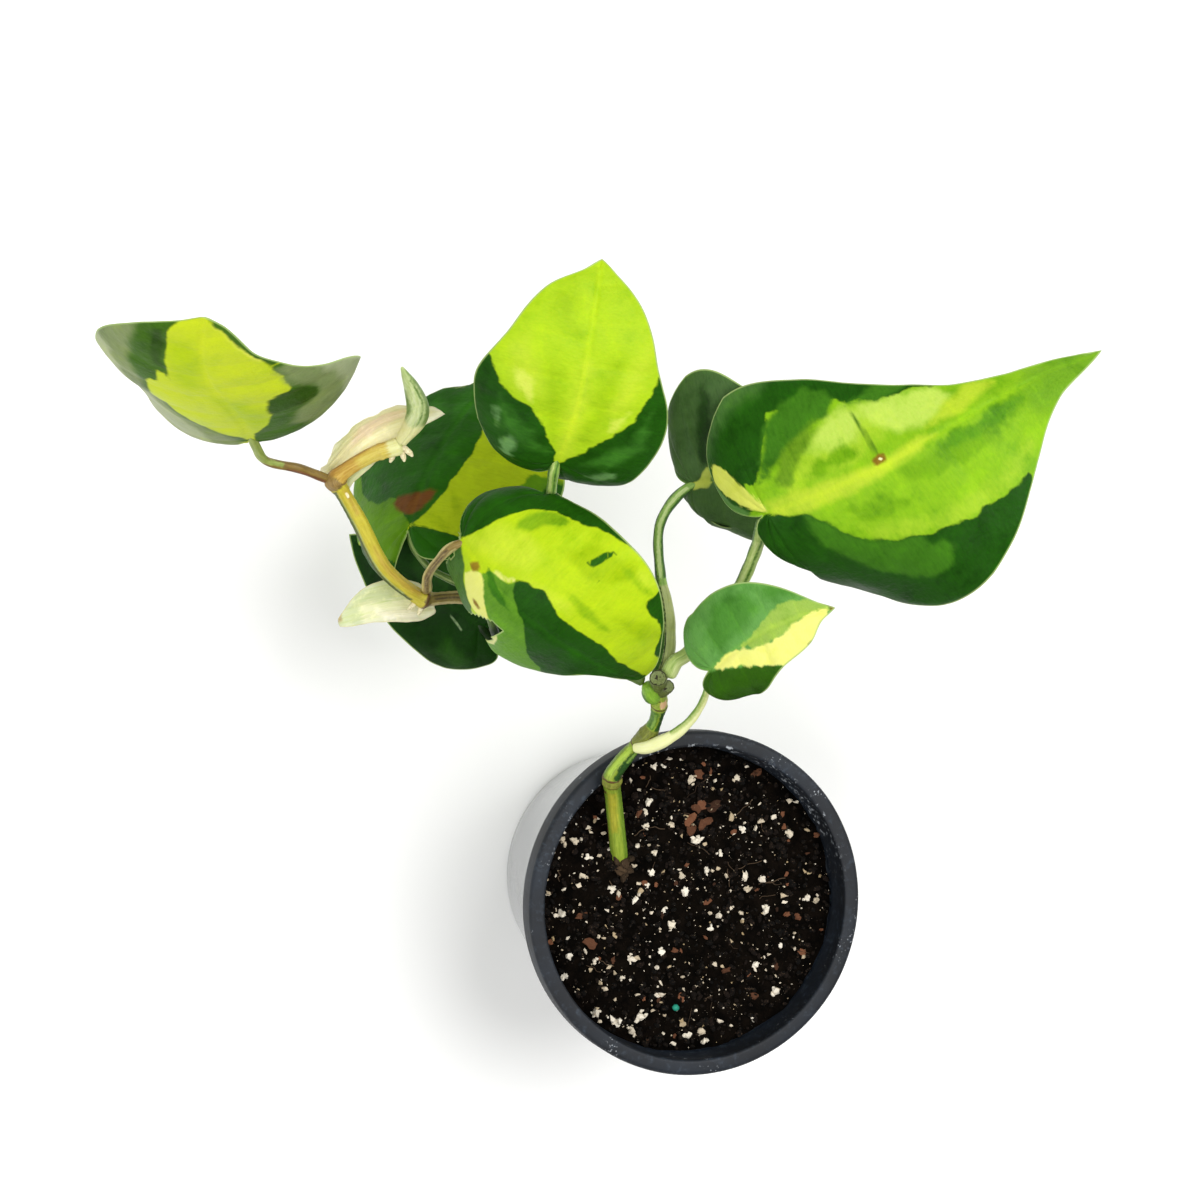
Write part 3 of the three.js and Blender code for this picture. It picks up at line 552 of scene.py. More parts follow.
def band_depth(facts, bands):
    """Depth in mm inside bands on a tube, each a row of (along, left edge, right edge)."""
    depth = np.full(len(facts), OUTSIDE)
    for band in bands:
        along, left, right = np.array(band, dtype=float).T
        from_left = facts[:, 1] - np.interp(facts[:, 0], along, left)
        from_right = np.interp(facts[:, 0], along, right) - facts[:, 1]
        from_ends = np.minimum(facts[:, 0] - along[0], along[-1] - facts[:, 0])
        depth = np.maximum(depth, np.minimum(np.minimum(from_left, from_right), from_ends))
    return depth


def tube_piece(name, path, material, replaced, sides, steps, shape, ends=(0.5, 0.5), layers=()):
    points, faces, facts = sweep(path, sides, steps, shape, ends)
    piece = add_piece(name, points, faces, material, replaced)
    add_attribute(piece, "along", facts[:, :3])
    add_attribute(piece, "cap", facts[:, [3, 3, 3]])
    add_zones(piece, [band_depth(facts, layer[3:]) for layer in layers])


def add_zones(piece, depths):
    """Keeps the depth of each colour layer on the points of a piece, three layers to an attribute."""
    while len(depths) % 3:
        depths.append(np.full(len(depths[0]), OUTSIDE))
    for i in range(0, len(depths), 3):
        add_attribute(piece, f"zones{i // 3}", np.stack(depths[i:i + 3], -1))


# Materials

def linear(hex_colour):
    """Linear colour from an sRGB hex one."""
    channels = [int(hex_colour[i:i + 2], 16) / 255 for i in (1, 3, 5)]
    return tuple(c / 12.92 if c <= 0.04045 else ((c + 0.055) / 1.055) ** 2.4 for c in channels) + (1.0,)


class Finish:
    """A material's node tree with short helpers. Sockets and plain values may be mixed freely."""

    def __init__(self, name):
        self.material = bpy.data.materials.new(name)
        self.material.use_nodes = True
        self.nodes = self.material.node_tree.nodes
        self.links = self.material.node_tree.links
        self.nodes.clear()
        output = self.nodes.new("ShaderNodeOutputMaterial")
        self.shader = self.nodes.new("ShaderNodeBsdfPrincipled")
        self.links.new(self.shader.outputs["BSDF"], output.inputs["Surface"])

    def feed(self, socket, value):
        if isinstance(value, bpy.types.NodeSocket):
            self.links.new(value, socket)
        elif isinstance(value, str):
            socket.default_value = linear(value)
        else:
            socket.default_value = value

    def set(self, **inputs):
        for key, value in inputs.items():
            self.feed(self.shader.inputs[key.replace("_", " ")], value)
        return self

    def attribute(self, name):
        node = self.nodes.new("ShaderNodeAttribute")
        node.attribute_name = name
        return node.outputs["Vector"]

    def place(self):
        return self.nodes.new("ShaderNodeTexCoord").outputs["Object"]

    def parts(self, vector):
        node = self.nodes.new("ShaderNodeSeparateXYZ")
        self.feed(node.inputs[0], vector)
        return node.outputs[0], node.outputs[1], node.outputs[2]

    def vector(self, x, y, z):
        node = self.nodes.new("ShaderNodeCombineXYZ")
        for socket, value in zip(node.inputs, (x, y, z)):
            self.feed(socket, value)
        return node.outputs[0]

    def math(self, operation, a, b=0.0):
        node = self.nodes.new("ShaderNodeMath")
        node.operation = operation
        self.feed(node.inputs[0], a)
        self.feed(node.inputs[1], b)
        return node.outputs[0]

    def plus(self, a, b):
        return self.math("ADD", a, b)

    def times(self, a, b):
        return self.math("MULTIPLY", a, b)

    def noise(self, vector, scale, detail=3.0, roughness=0.5):
        node = self.nodes.new("ShaderNodeTexNoise")
        self.feed(node.inputs["Vector"], vector)
        node.inputs["Scale"].default_value = scale
        node.inputs["Detail"].default_value = detail
        node.inputs["Roughness"].default_value = roughness
        return node.outputs["Fac"]

    def cells(self, vector, scale):
        node = self.nodes.new("ShaderNodeTexVoronoi")
        self.feed(node.inputs["Vector"], vector)
        node.inputs["Scale"].default_value = scale
        return node.outputs["Distance"]

    def step(self, value, low, high, start=0.0, end=1.0):
        """Smooth change from start to end as value goes from low to high."""
        node = self.nodes.new("ShaderNodeMapRange")
        node.interpolation_type = "SMOOTHSTEP"
        self.feed(node.inputs["Value"], value)
        for key, number in (("From Min", low), ("From Max", high), ("To Min", start), ("To Max", end)):
            self.feed(node.inputs[key], number)
        return node.outputs["Result"]

    def mix(self, factor, a, b, blend="MIX"):
        node = self.nodes.new("ShaderNodeMix")
        node.data_type = "RGBA"
        node.blend_type = blend
        self.feed(node.inputs["Factor"], factor)
        self.feed(node.inputs[6], a)
        self.feed(node.inputs[7], b)
        return node.outputs[2]

    def bump(self, height, distance, strength=1.0):
        """Fine relief: height runs from 0 to 1, distance is its depth in millimetres."""
        node = self.nodes.new("ShaderNodeBump")
        self.feed(node.inputs["Height"], height)
        node.inputs["Strength"].default_value = strength
        node.inputs["Distance"].default_value = distance * MM
        self.feed(self.shader.inputs["Normal"], node.outputs["Normal"])


def layered(finish, base, layers, jitter):
    """The base colour with layers painted over it, each a colour, its softness in mm and its raggedness."""
    result = base
    depths = []
    for i in range(0, len(layers), 3):
        depths += finish.parts(finish.attribute(f"zones{i // 3}"))
    for (colour, softness, ragged, *_), depth in zip(layers, depths):
        moved = finish.plus(depth, finish.times(jitter, ragged))
        result = finish.mix(finish.step(moved, -softness, softness), result, colour)
    return result


# Leaf colours

LIME = "#bedb22"
DEEP = "#21540d"
NIGHT = "#255c0a"
BROWN = "#6e4420"

# Each leaf's colours: the blade's own, then layers of colour, softness, raggedness and outlines, all in
# flat millimetres: across the midrib, and along it from the joint
VARIEGATION = {
    "far": ("#d6e630", (
        ("#c2da1e", 3, 4, ((8.5, 60), (3, 60), (0, 48), (3, 38), (8, 38), (9, 50)),
         ((-2, 8), (2, 20), (2, 34), (-4, 30), (-8, 22), (-6, 12))),
        ("#f0f56a", 0.8, 2,
         ((-2, 66), (-7, 62), (-11.5, 55.5), (-15.5, 47), (-13.5, 48), (-9, 56), (-5, 62))),
        ("#456f18", 0.5, 2,
         ((3.5, 69), (6.5, 66.5), (8.7, 64), (8.9, 55), (9.3, 48), (9.6, 42), (10.6, 44.5), (12.4, 46),
          (13.6, 39), (15, 41), (18, 37.5), (20.2, 26.5), (18, 22), (15, 16.2), (11.5, 11), (7.5, 7.5),
          (3, 4.5), (0, -1), (50, -20), (50, 60), (10, 75)),
         ((-1, 0), (-1.5, 5), (-6.5, 13), (-9, 20), (-13.5, 26), (-17.7, 31), (-17.5, 38.5), (-16, 44),
          (-30, 44), (-50, 20), (-50, -20), (0, -20)),
         ((0, 68.3), (-4.6, 63), (-12.8, 51), (-16.5, 44), (-25, 44), (-16, 60), (-5, 70))),
        # painted sheen: grey-green over both wings
        ("#8c9c74", 2, 4,
         ((18, 62), (19, 54), (20, 46), (19.5, 38), (20.4, 30), (19.6, 24), (17.5, 19), (14.5, 13), (10, 9),
          (5, 5), (2, -4), (4, -20), (50, -20), (50, 60)),
         ((-17, 42), (-17.8, 34), (-19, 31), (-22, 26), (-22, 20), (-15, 15), (-12, 8), (-20, -10),
          (-50, -10), (-50, 42))),
        # painted sheen: paler grey toward the outer parts of the wings
        ("#b2bba6", 1.6, 4,
         ((26, 46), (27, 36), (25.5, 28), (22.5, 19), (18, 11), (12, 5), (10, -20), (50, -20), (50, 60)),
         ((-26, 36), (-28, 26), (-29, 12), (-27, 2), (-30, -8), (-50, -4), (-50, 40))),
        ("#35590f", 0.8, 3,
         ((-10.5, 27.5), (-15, 29.5), (-19, 28.5), (-22.5, 23), (-21, 18), (-14, 19.5), (-8, 18.5),
          (-8, 22)),
         ((10.5, 63), (9.8, 55), (10.2, 47), (12, 49), (13, 56), (12.6, 62))),
    )),
    "middle": (LIME, (
        ("#cbe23c", 2, 3, ((1, 0), (12, 3), (17, 12), (16, 18), (10, 18), (4, 9)),
         ((7, 18), (10, 24), (12, 32), (9, 34), (6, 24)), ((27, 36), (31, 44), (30, 52), (26.5, 46))),
        ("#afcd16", 1.5, 3, ((20, 20), (27, 25), (31, 38), (27, 42), (20, 32)),
         ((15, 44), (19, 54), (17, 66), (13, 56))),
        ("#8eb81e", 0.8, 3,
         ((14.5, 6.2), (16, 5), (19, 4.6), (22.5, 5.6), (25.6, 8.4), (27, 12.5), (26.6, 15), (24, 13.2),
          (21, 10.6), (17.8, 9.4))),
        ("#9cc21a", 1, 3,
         ((13.2, 29), (14, 33), (13.2, 38.2), (12.4, 43), (10.8, 46.6), (10, 43), (11, 36)),
         ((28.4, 34.6), (27.9, 39.5), (27, 44.4), (25.9, 50.5), (25.3, 45), (26.2, 39))),
        ("#e9ee94", 0.5, 2,
         ((2.5, 11.6), (4, 13.6), (4.8, 16.4), (6.6, 17.2), (6.2, 18.8), (3.4, 17), (1.8, 14))),
        ("#659a2e", 0.4, 2,
         ((-0.8, 10.6), (2, 11.8), (3.2, 15.4), (4, 17.4), (6.2, 18.2), (5, 22), (0, 30), (-10, 42),
          (-14, 50), (-40, 50), (-40, 25), (-12, 23), (-7.5, 17), (-4.6, 15))),
        ("#3f7a1c", 0.5, 2,
         ((2.4, 10), (2.2, 12.6), (0.7, 16), (-0.7, 20), (-2.4, 24), (-2.6, 18), (-1.4, 15), (0.2, 12))),
        (DEEP, 0.35, 2,
         ((-1, -1), (1.2, -0.2), (6, 1), (10, 1), (13.8, 1.5), (17, 2.5), (20, 3.2), (23, 5.5), (26, 8),
          (27.7, 12.8), (29.2, 17.5), (31.4, 22.2), (32.6, 26.8), (33, 31), (33.2, 35.2), (33, 38), (60, 44),
          (50, -30), (0, -30)),
         ((6.5, 17.3), (7.8, 19.8), (8.4, 22.2), (9.3, 24.2), (9.3, 26.8), (8.2, 29.2), (6.8, 32.2),
          (5.9, 36.5), (6.3, 39.5), (6.1, 44.2), (6.4, 48), (5.2, 51.8), (3.9, 56), (3.9, 61.2), (3, 68.2),
          (2, 76), (-3, 80), (-22, 60), (-18.2, 48), (-15.5, 44), (-13, 39.2), (-10.4, 35.5), (-7, 32.5),
          (-4.2, 29.6), (-1.8, 27.6), (0.2, 24), (1.8, 21.6), (3.6, 19.4)),
         ((21.6, 49.8), (23, 48.4), (26.6, 50), (40, 52), (40, 70), (13, 72), (10, 69.6), (10.2, 67),
          (13.2, 63.4), (17.6, 61.4), (19.2, 58.2), (20.8, 54.2))),
        ("#2c6412", 0.3, 0.5,
         ((22.8, 27.3), (25.2, 28.2), (27.6, 28.9), (29.6, 30.5), (30.1, 33), (28.7, 31.6), (27, 30.9),
          (25, 30.4), (22.8, 29.4)),
         ((20.2, 32.9), (20.9, 32.4), (21.6, 33.2), (20.8, 33.9))),
        ("#f0f29a", 0.4, 2,
         ((-2, 8.6), (-0.9, 10.5), (-1.2, 12.5), (-4.8, 15), (-7.6, 17.2), (-11.5, 21.6), (-16, 21),
          (-14, 16), (-11.5, 12), (-6, 7))),
        ("#46722e", 0.5, 1.5,
         ((-0.8, -1.5), (-1.4, 1.2), (-2.6, 3.6), (-4.8, 6), (-8, 8), (-11, 11.4), (-14, 15), (-22, 18),
          (-34, 14), (-34, -20), (-1, -20))),
        ("#96792a", 0.5, 1,
         ((-1.8, 6.2), (1, 7.8), (-0.4, 9.8), (-2.8, 8.6)),
         ((-9.4, 13.6), (-9.4, 15.6), (-10.6, 17.4), (-11.6, 17), (-11, 14.6))),
        ("#e3e4ae", 0.4, 1, ((-13, 25.6), (-16, 28), (-22, 30), (-30, 29), (-30, 25.8), (-20, 26))),
    )),
    "top": ("#b4d626", (
        ("#c6de3c", 4, 5,
         ((-7, 20), (-12, 30), (-18, 40), (-16, 28), (-11, 17)),
         ((10, 20), (16, 34), (20, 30), (15, 20)),
         ((-1.5, 1), (1.5, 1), (2.2, 14), (1.4, 30), (-1.4, 30), (-2.2, 14))),
        ("#a3c71c", 3, 6, ((3, 6), (9, 16), (10, 30), (5, 24)), ((-3, 8), (-9, 16), (-9, 34), (-4, 24)),
         ((4, 38), (12, 44), (6, 54))),
        ("#dce96a", 1.2, 5, ((-9, 13), (-14, 17.5), (-15, 20.5), (-10, 17)),
         ((12, 17), (16, 20), (17, 25), (13, 22))),
        (DEEP, 0.4, 3,
         ((0.5, 0), (2, 4), (4.5, 7.5), (7.5, 11.5), (12, 15), (17, 16), (20, 18.5), (24, 24), (26, 28),
          (36, 26), (36, -20), (0, -20)),
         ((-0.5, 0), (-2, 2.5), (-5.5, 6), (-10, 11.5), (-14, 14.7), (-16, 18), (-18.5, 24), (-20.5, 30),
          (-34, 30), (-34, -20), (0, -20))),
        # painted sheen: paler streaks on the dark lobes
        ("#3f7a2a", 2, 6,
         ((4, 3), (10, 9), (17, 11), (21, 15), (18, 6), (11, 2)),
         ((-6, 2), (-12, 7), (-17, 11), (-20, 20), (-21, 10), (-14, 1))),
        # painted sheen: grey-green patches at the lobes' bases
        ("#6c9a66", 1.4, 6, ((11, -5), (13, -1), (12, 3), (15, 4), (16.4, 0), (14, -5)),
         ((-9, -3), (-13, 0), (-17, 1), (-14, -4)), ((19, 4), (21.5, 10), (20, 11), (18, 6))),
    )),
    "large": ("#8ec022", (
        ("#a9cf36", 2.5, 6,
         ((-12, 20), (-17, 34), (-19, 48), (-18, 60), (-14, 72), (-20, 66), (-24, 52), (-23, 38), (-18, 24)),
         ((4, 6), (12, 14), (18, 24), (18, 38), (10, 42), (4, 26))),
        ("#78ab28", 3, 4, ((-9, 78), (-3, 74), (3, 82), (6, 110), (-8, 110))),
        ("#c4e06a", 2, 5,
         ((12, 16), (17, 22), (20, 30), (15, 34), (10, 31), (9, 22)),
         ((19, 34), (17, 42), (14, 54), (8, 60), (4, 52), (6, 42), (12, 36))),
        ("#bcd63c", 1.5, 3,
         ((-2, 0), (3, 1), (3, 12), (2, 24), (1.2, 34), (2.4, 44), (0.4, 50), (-1, 44), (-2.2, 34),
          (-3.2, 22), (-3.2, 10)),
         ((3, 48), (7, 56), (9, 66), (5, 72), (2.4, 60))),
        ("#7aae18", 1.4, 7,
         ((5, 12), (9, 18), (10, 26), (6, 28), (4, 18)),
         ((-3, 34), (-3.5, 44), (-2, 56), (-1, 68), (-1.5, 84), (-6, 76), (-9, 62), (-9, 48), (-7, 38)),
         ((-6, 18), (-13, 24), (-12, 36), (-7, 30))),
        ("#5f9a18", 1.8, 8, ((-2.5, 50), (-1.5, 62), (-1, 76), (-3.5, 80), (-6, 68), (-6, 56))),
        (DEEP, 0.45, 4,
         ((9.5, -2.5), (9, 1), (13, 3.5), (17, 5.5), (22, 8), (26, 10), (26, 15), (27, 21), (23, 28),
          (20.5, 33), (17.5, 40), (15.5, 47), (13, 56), (10.5, 64), (6, 78), (30, 80), (60, 20), (50, -30),
          (5, -30), (2, -4)),
         ((0, 0), (-3, 5), (-4, 9), (-8, 13.5), (-12.5, 16.5), (-17, 21.5), (-20.5, 29), (-22, 36),
          (-22.5, 42), (-23.5, 48), (-23, 56), (-22.5, 62), (-21.5, 67), (-40, 70), (-70, 20), (-40, -30),
          (0, -20))),
        ("#427a1e", 1.2, 4,
         ((-4, 9), (-8, 13.5), (-12.5, 16.5), (-17, 21.5), (-20.5, 29), (-22, 35), (-26, 36), (-24.5, 40),
          (-29, 42), (-33, 39), (-35, 34), (-33, 28), (-28, 20), (-22, 14), (-14, 9)),
         ((8, 1), (13, 3.5), (17, 5.5), (22, 8), (26, 12), (30, 22), (27, 27), (23, 30), (20, 26),
          (16, 16.5), (14, 10), (9, 4)),
         ((20, 32), (22, 42), (19, 56), (13, 66), (16, 52), (17, 40))),
        ("#4a743c", 3, 4, ((18, -18), (25, -9), (30, 0), (33, 10), (38, 16), (60, 0), (40, -30))),
        ("#6f9a24", 1.5, 5, ((5, 4), (11, 8), (16, 14), (20, 22), (17, 22), (11, 14), (6, 9))),
        ("#e2e878", 0.4, 4,
         ((0, 0.5), (5, -1.5), (9, -3), (12.5, -5.5), (17, -9), (19, -14), (14, -14), (9.5, -11), (6, -8),
          (3, -4))),
        ("#5c8a4c", 0.6, 3, ((2, -4.5), (6, -9), (9.5, -12), (14, -15.5), (20, -16), (10, -30), (0, -20))),
        # painted shade: a dark line in a side vein's crease
        ("#4e7a1e", 0.5, 0.8,
         ((1, 33), (5, 33.6), (10, 33.4), (16, 32.4), (20, 31.2), (16, 31.6), (10, 32), (5, 32.2))),
        ("#8a6a24", 0.5, 1, ((0.6, 31.4), (2.6, 31.2), (3.2, 33.6), (2.6, 35), (0.6, 34.6))),
        # painted highlight: a white glint on the brown spot
        ("#f6f6d8", 0.25, 0.4, ((1.3, 32.8), (2.2, 32.8), (2.2, 33.9), (1.3, 33.9))),
    )),
    "dark": ("#4c6a42", (
        ("#24411a", 1.5, 4, ((5, 3), (12, 3), (22, 4), (26, 5), (22, 7), (12, 6), (5, 5))),
        ("#57744a", 3, 6, ((8, 12), (16, 14), (20, 24), (12, 30), (6, 20))),
        ("#c3cc6c", 0.4, 2,
         ((-1.4, 0), (0.3, -0.6), (1.8, 2.8), (3.4, 3.8), (5, 5.4), (2.4, 5.4), (0.2, 5.4), (-1.2, 3.6))),
    )),
    "small": ("#6ca65c", (
        ("#54923e", 2, 4, ((2, 4), (8, 2), (14, 8), (12, 18), (6, 20), (3, 12)),
         ((12, 20), (10, 30), (5, 34), (7, 24))),
        ("#33600f", 0.6, 3,
         ((-0.8, 1), (-3.5, 6), (-6.3, 11), (-9, 15.5), (-10.5, 18.5), (-20, 20), (-20, -20), (0, -20))),
        ("#a2c260", 0.4, 3,
         ((0, 9), (0.5, 13), (2, 18), (4, 22), (5, 26), (4.6, 31), (2, 36.5), (0, 36.5), (0, 31.5),
          (-0.7, 28), (-3, 22.5), (-3.5, 18), (-3.2, 13.5), (-1.3, 12))),
        ("#f4f49c", 0.4, 3,
         ((0.3, 0.5), (0.4, 5), (0.2, 8.5), (-1.3, 12), (-3.2, 13.5), (-3.5, 18), (-3, 22.5), (-0.7, 28),
          (0, 31.5), (0.5, 36), (-8, 34), (-14, 24), (-10.5, 18.5), (-9, 15.5), (-6.3, 11), (-3.5, 6),
          (-0.8, 1))),
        ("#7c6a34", 0.4, 2, ((-1, 36.5), (2, 36.5), (2, 40), (-2, 40)),
         ((-12.2, 21), (-11.4, 24), (-14, 27), (-16, 22)), ((-7.8, 27), (-6.8, 29), (-9, 31), (-10, 28))),
    )),
    "back": ("#a9bd1c", (
        ("#5d8c14", 0.6, 4,
         ((0, 0), (2.5, 5.5), (6, 9.5), (10.5, 11), (15, 9), (22, 11), (27, 15), (29, 20), (45, 24), (40, 0),
          (27, -3), (20, -6), (10, -10), (4, -11), (0, -8)),
         ((-28, 26), (-27, 20), (-25, 15), (-27, 8), (-45, 0), (-50, 30))),
        (NIGHT, 0.4, 3,
         ((0, 0), (3.5, 4), (7, 7.5), (10.5, 9), (15, 7), (22, 9), (27, 13), (29, 18), (45, 25), (30, 45),
          (0, 75), (-3, 60), (-7, 45), (-8, 36), (-10, 26.5), (-9.5, 20.5), (-8, 13), (-6.5, 8), (-2.5, 2)),
         ((-34, 26), (-32, 20), (-30, 15), (-32, 8), (-45, 0), (-50, 30)),
         ((0, -0.5), (-5, 0), (-10, -0.5), (-15, -1.5), (-30, -4), (-30, -30), (0, -30)),
         ((28, -2), (22, -5), (14, -8), (8, -10), (2, -12), (0, -30), (40, -30))),
        # painted sheen: lighter streaks on the dark half
        ("#2d6a12", 2, 6, ((20, 12), (26, 14), (27, 20), (20, 20)), ((-3, 14), (-6, 22), (-5, 30), (-1, 24)),
         ((2, 36), (-4, 40), (-2, 55), (6, 48)), ((10, 28), (18, 32), (12, 44), (6, 38))),
        (BROWN, 0.8, 3,
         ((8.6, 6.6), (7, 8.8), (2, 9.6), (-2, 11), (-5, 11.4), (-4.8, 8.4), (-2.4, 5), (0.6, 3.4), (4, 4),
          (7, 5))),
    )),
    "low": ("#15390a", (
        ("#255012", 2.5, 4, ((12, -8), (18, -4), (16, 6), (10, 4)),
         ((-4, 14), (-12, 16), (-10, 28), (-3, 24))),
        # painted highlight: a thin grey-white streak on the dark blade
        ("#8ea58a", 0.25, 0.3, ((2.2, 8.4), (2.8, 8.2), (4.5, 3), (3.8, 3))),
    )),
}
VEINS_PER_SIDE = {"far": 9, "middle": 9, "top": 8, "large": 10, "dark": 8, "small": 7, "back": 8, "low": 7}


def leaf_finish(name, base, layers, veins_per_side, seed):
    """Skin of a leaf: its layers, blotches and streaks along the veins, paler ribs and underside, and a pale
    line along the margin that is a painted highlight.
    """
    finish = Finish(name)
    x, y, side = finish.parts(finish.attribute("flat"))
    row, share, edge = finish.parts(finish.attribute("vein"))
    half = finish.math("SIGN", x)
    streaks = finish.vector(finish.times(row, 60), finish.times(share, 3.5), finish.times(half, 7 + seed))
    flat_place = finish.vector(x, y, seed * 3.7)
    streak = finish.noise(streaks, 0.4, 3, 0.5)
    blot = finish.noise(flat_place, 0.25, 3, 0.5)
    jitter = finish.times(finish.plus(finish.plus(streak, blot), -1.0), 0.8)
    colour = layered(finish, base, layers, jitter)
    tone = finish.noise(flat_place, 0.11, 4, 0.6)
    colour = finish.mix(finish.step(tone, 0.5, 0.72, 0.0, 0.4), colour, "#e4efa0", "SOFT_LIGHT")
    colour = finish.mix(finish.step(tone, 0.28, 0.5, 0.4, 0.0), colour, "#1c3a08", "SOFT_LIGHT")
    grain = finish.noise(streaks, 3.0, 3, 0.7)
    colour = finish.mix(finish.step(grain, 0.35, 0.75, 0.0, 0.25), colour, "#1c3a10", "SOFT_LIGHT")
    across = finish.math("ABSOLUTE", x)
    rib = finish.step(across, 0.2, 1.3, 1.0, 0.0)
    colour = finish.mix(finish.times(rib, 0.25), colour, "#f2f6b8", "SOFT_LIGHT")
    phase = finish.plus(finish.times(row, veins_per_side), finish.times(half, VEIN_SHIFT))
    from_vein = finish.math("PINGPONG", phase, 0.5)
    fade = finish.step(share, 0.45, 0.95, 1.0, 0.0)
    vein = finish.times(finish.step(from_vein, 0.01, 0.07, 1.0, 0.0), fade)
    colour = finish.mix(finish.times(vein, 0.12), colour, "#f2f6b8", "SOFT_LIGHT")
    # A pale line along the margin: a painted highlight on the rounded edge.
    colour = finish.mix(finish.step(edge, 0.2, 0.6, 0.8, 0.0), colour, "#b4cc92")
    below = finish.step(side, -0.2, 0.2, 1.0, 0.0)
    colour = finish.mix(below, colour, finish.mix(0.42, colour, "#9bb878"))
    colour = finish.mix(1.0, colour, (0.74, 0.74, 0.55, 1), "MULTIPLY")
    finish.set(Base_Color=colour, Roughness=finish.step(tone, 0.3, 0.7, 0.36, 0.52), Specular_IOR_Level=0.06)
    finish.set(Subsurface_Weight=0.06, Subsurface_Scale=0.002, Subsurface_Radius=(0.5, 1.0, 0.2))
    ripples = finish.noise(flat_place, 0.55, 3, 0.6)
    fine = finish.plus(finish.times(grain, 0.25), finish.times(ripples, 0.75))
    finish.bump(fine, 0.4, 0.8)
    return finish.material


def stem_finish(name, base, layers=(), cut=None):
    """Skin of a stem: fine ribs along it, blotches, layers of colour, and a dark ring round a cut end."""
    finish = Finish(name)
    along, across, front = finish.parts(finish.attribute("along"))
    lines = finish.vector(finish.times(along, 0.12), finish.times(across, 1.3), finish.times(front, 1.3))
    fibre = finish.noise(lines, 1.6, 4, 0.65)
    blot = finish.noise(finish.place(), 900, 4, 0.6)
    jitter = finish.plus(finish.plus(fibre, -0.5), finish.plus(blot, -0.5))
    colour = layered(finish, base, layers, jitter)
    if cut:
        cap = finish.parts(finish.attribute("cap"))[0]
        marks = finish.step(finish.noise(finish.place(), 800, 1, 0.5), 0.58, 0.64)
        colour = finish.mix(cap, colour, finish.mix(marks, cut, "#2f2913"))
        ring = finish.times(finish.step(cap, 0.05, 0.4), finish.step(cap, 0.6, 0.95, 1.0, 0.0))
        colour = finish.mix(ring, colour, "#26220f")
    colour = finish.mix(finish.step(fibre, 0.35, 0.65, 0.55, 0.0), colour, "#2c3810", "SOFT_LIGHT")
    colour = finish.mix(finish.step(blot, 0.52, 0.75, 0.0, 0.4), colour, "#ece8b4", "SOFT_LIGHT")
    colour = finish.mix(1.0, colour, (0.8, 0.8, 0.68, 1), "MULTIPLY")
    finish.set(Base_Color=colour, Roughness=finish.step(blot, 0.3, 0.7, 0.36, 0.55), Specular_IOR_Level=0.3)
    finish.set(Subsurface_Weight=0.06, Subsurface_Scale=0.002, Subsurface_Radius=(0.6, 1.0, 0.2))
    finish.bump(finish.plus(finish.times(fibre, 0.6), finish.times(blot, 0.4)), 0.3, 0.8)
    return finish.material


def ridged(count, depth, rings=()):
    """A tube shape with shallow ribs along it and a raised, rough ring at each of some distances."""
    def shape(along, angle, radius):
        ribs = depth * np.sin(count * angle + 0.4 * np.sin(0.3 * along))
        wrinkles = 0.03 * np.sin(3.1 * along + 2 * np.sin(angle)) + 0.02 * np.sin(7.7 * along + 3 * angle)
        size = radius + ribs + wrinkles * min(radius, 1)
        for distance, height, width in rings:
            size = size + height * np.exp(-((along - distance + 0.25 * np.sin(2 * angle)) / width) ** 2)
        return size
    return shape


# Stem colours: layers of colour, softness, raggedness and bands (mm along, left edge, right edge)
STEM_LAYERS = (
    ("#b4b13c", 0.9, 2, ((32, -1.4, 0.5), (40, -1.7, 0.9), (47, -1.3, 0.6))),
    # painted highlight down the stem's left side between the first and second nodes
    ("#b3cf55", 0.5, 1.5, ((53, -1.9, -0.3), (58, -1.7, 0), (64, -1.4, 0))),
    ("#7c9c34", 0.5, 1.2, ((16, 1.5, 5), (50, 1.4, 5)), ((16, -5, -2), (50, -5, -1.9)),
     ((52, -5, -1.9), (64, -5, -1.8))),
    ("#2c591a", 0.3, 1.8, ((52, 0.9, 5), (56, 0.3, 5), (61, 0.4, 5), (66, 0.9, 5)),
     ((73, 0.8, 5), (81, 0.7, 5))),
    ("#82893a", 0.4, 1, ((65.4, -5, 5), (73, -5, 5))),
    ("#5e8a29", 0.3, 1, ((73.4, -5, 0.5), (81, -5, 0.4))),
    ("#86a94e", 0.3, 1, ((74, -0.8, 0.1), (80, -0.8, 0)), ((59, 0.9, 1.7), (64, 1.1, 1.8))),
    ("#8f9440", 0.4, 1, ((49.6, -5, 5), (51.6, -5, 5))),
    ("#dcb696", 0.3, 1.5, ((82.6, 0.5, 1.7), (84.2, 0, 2), (85.6, 0.4, 1.7))),
    ("#5e3f20", 0.16, 0.5, ((49.3, -5, 5), (49.7, -5, 5)), ((51.7, -5, 5), (52.1, -5, 5)),
     ((64.6, -5, 5), (65.2, -5, 5)), ((81.9, -5, 5), (82.4, -5, 5)), ((85.8, -5, 0), (86.2, -5, 0)),
     ((69.6, 1, 2.1), (71.4, 1, 2.1)), ((27, -5, -2.4), (36, -5, -2.3)),
     ((46, -2.4, -1.9), (47.4, -2.4, -1.9))),
)
BULB_LAYERS = (("#4f7d24", 0.3, 1, ((0, -4, -2), (6, -4, -1.9)), ((0, 1.6, 4), (6, 1.5, 4))),)
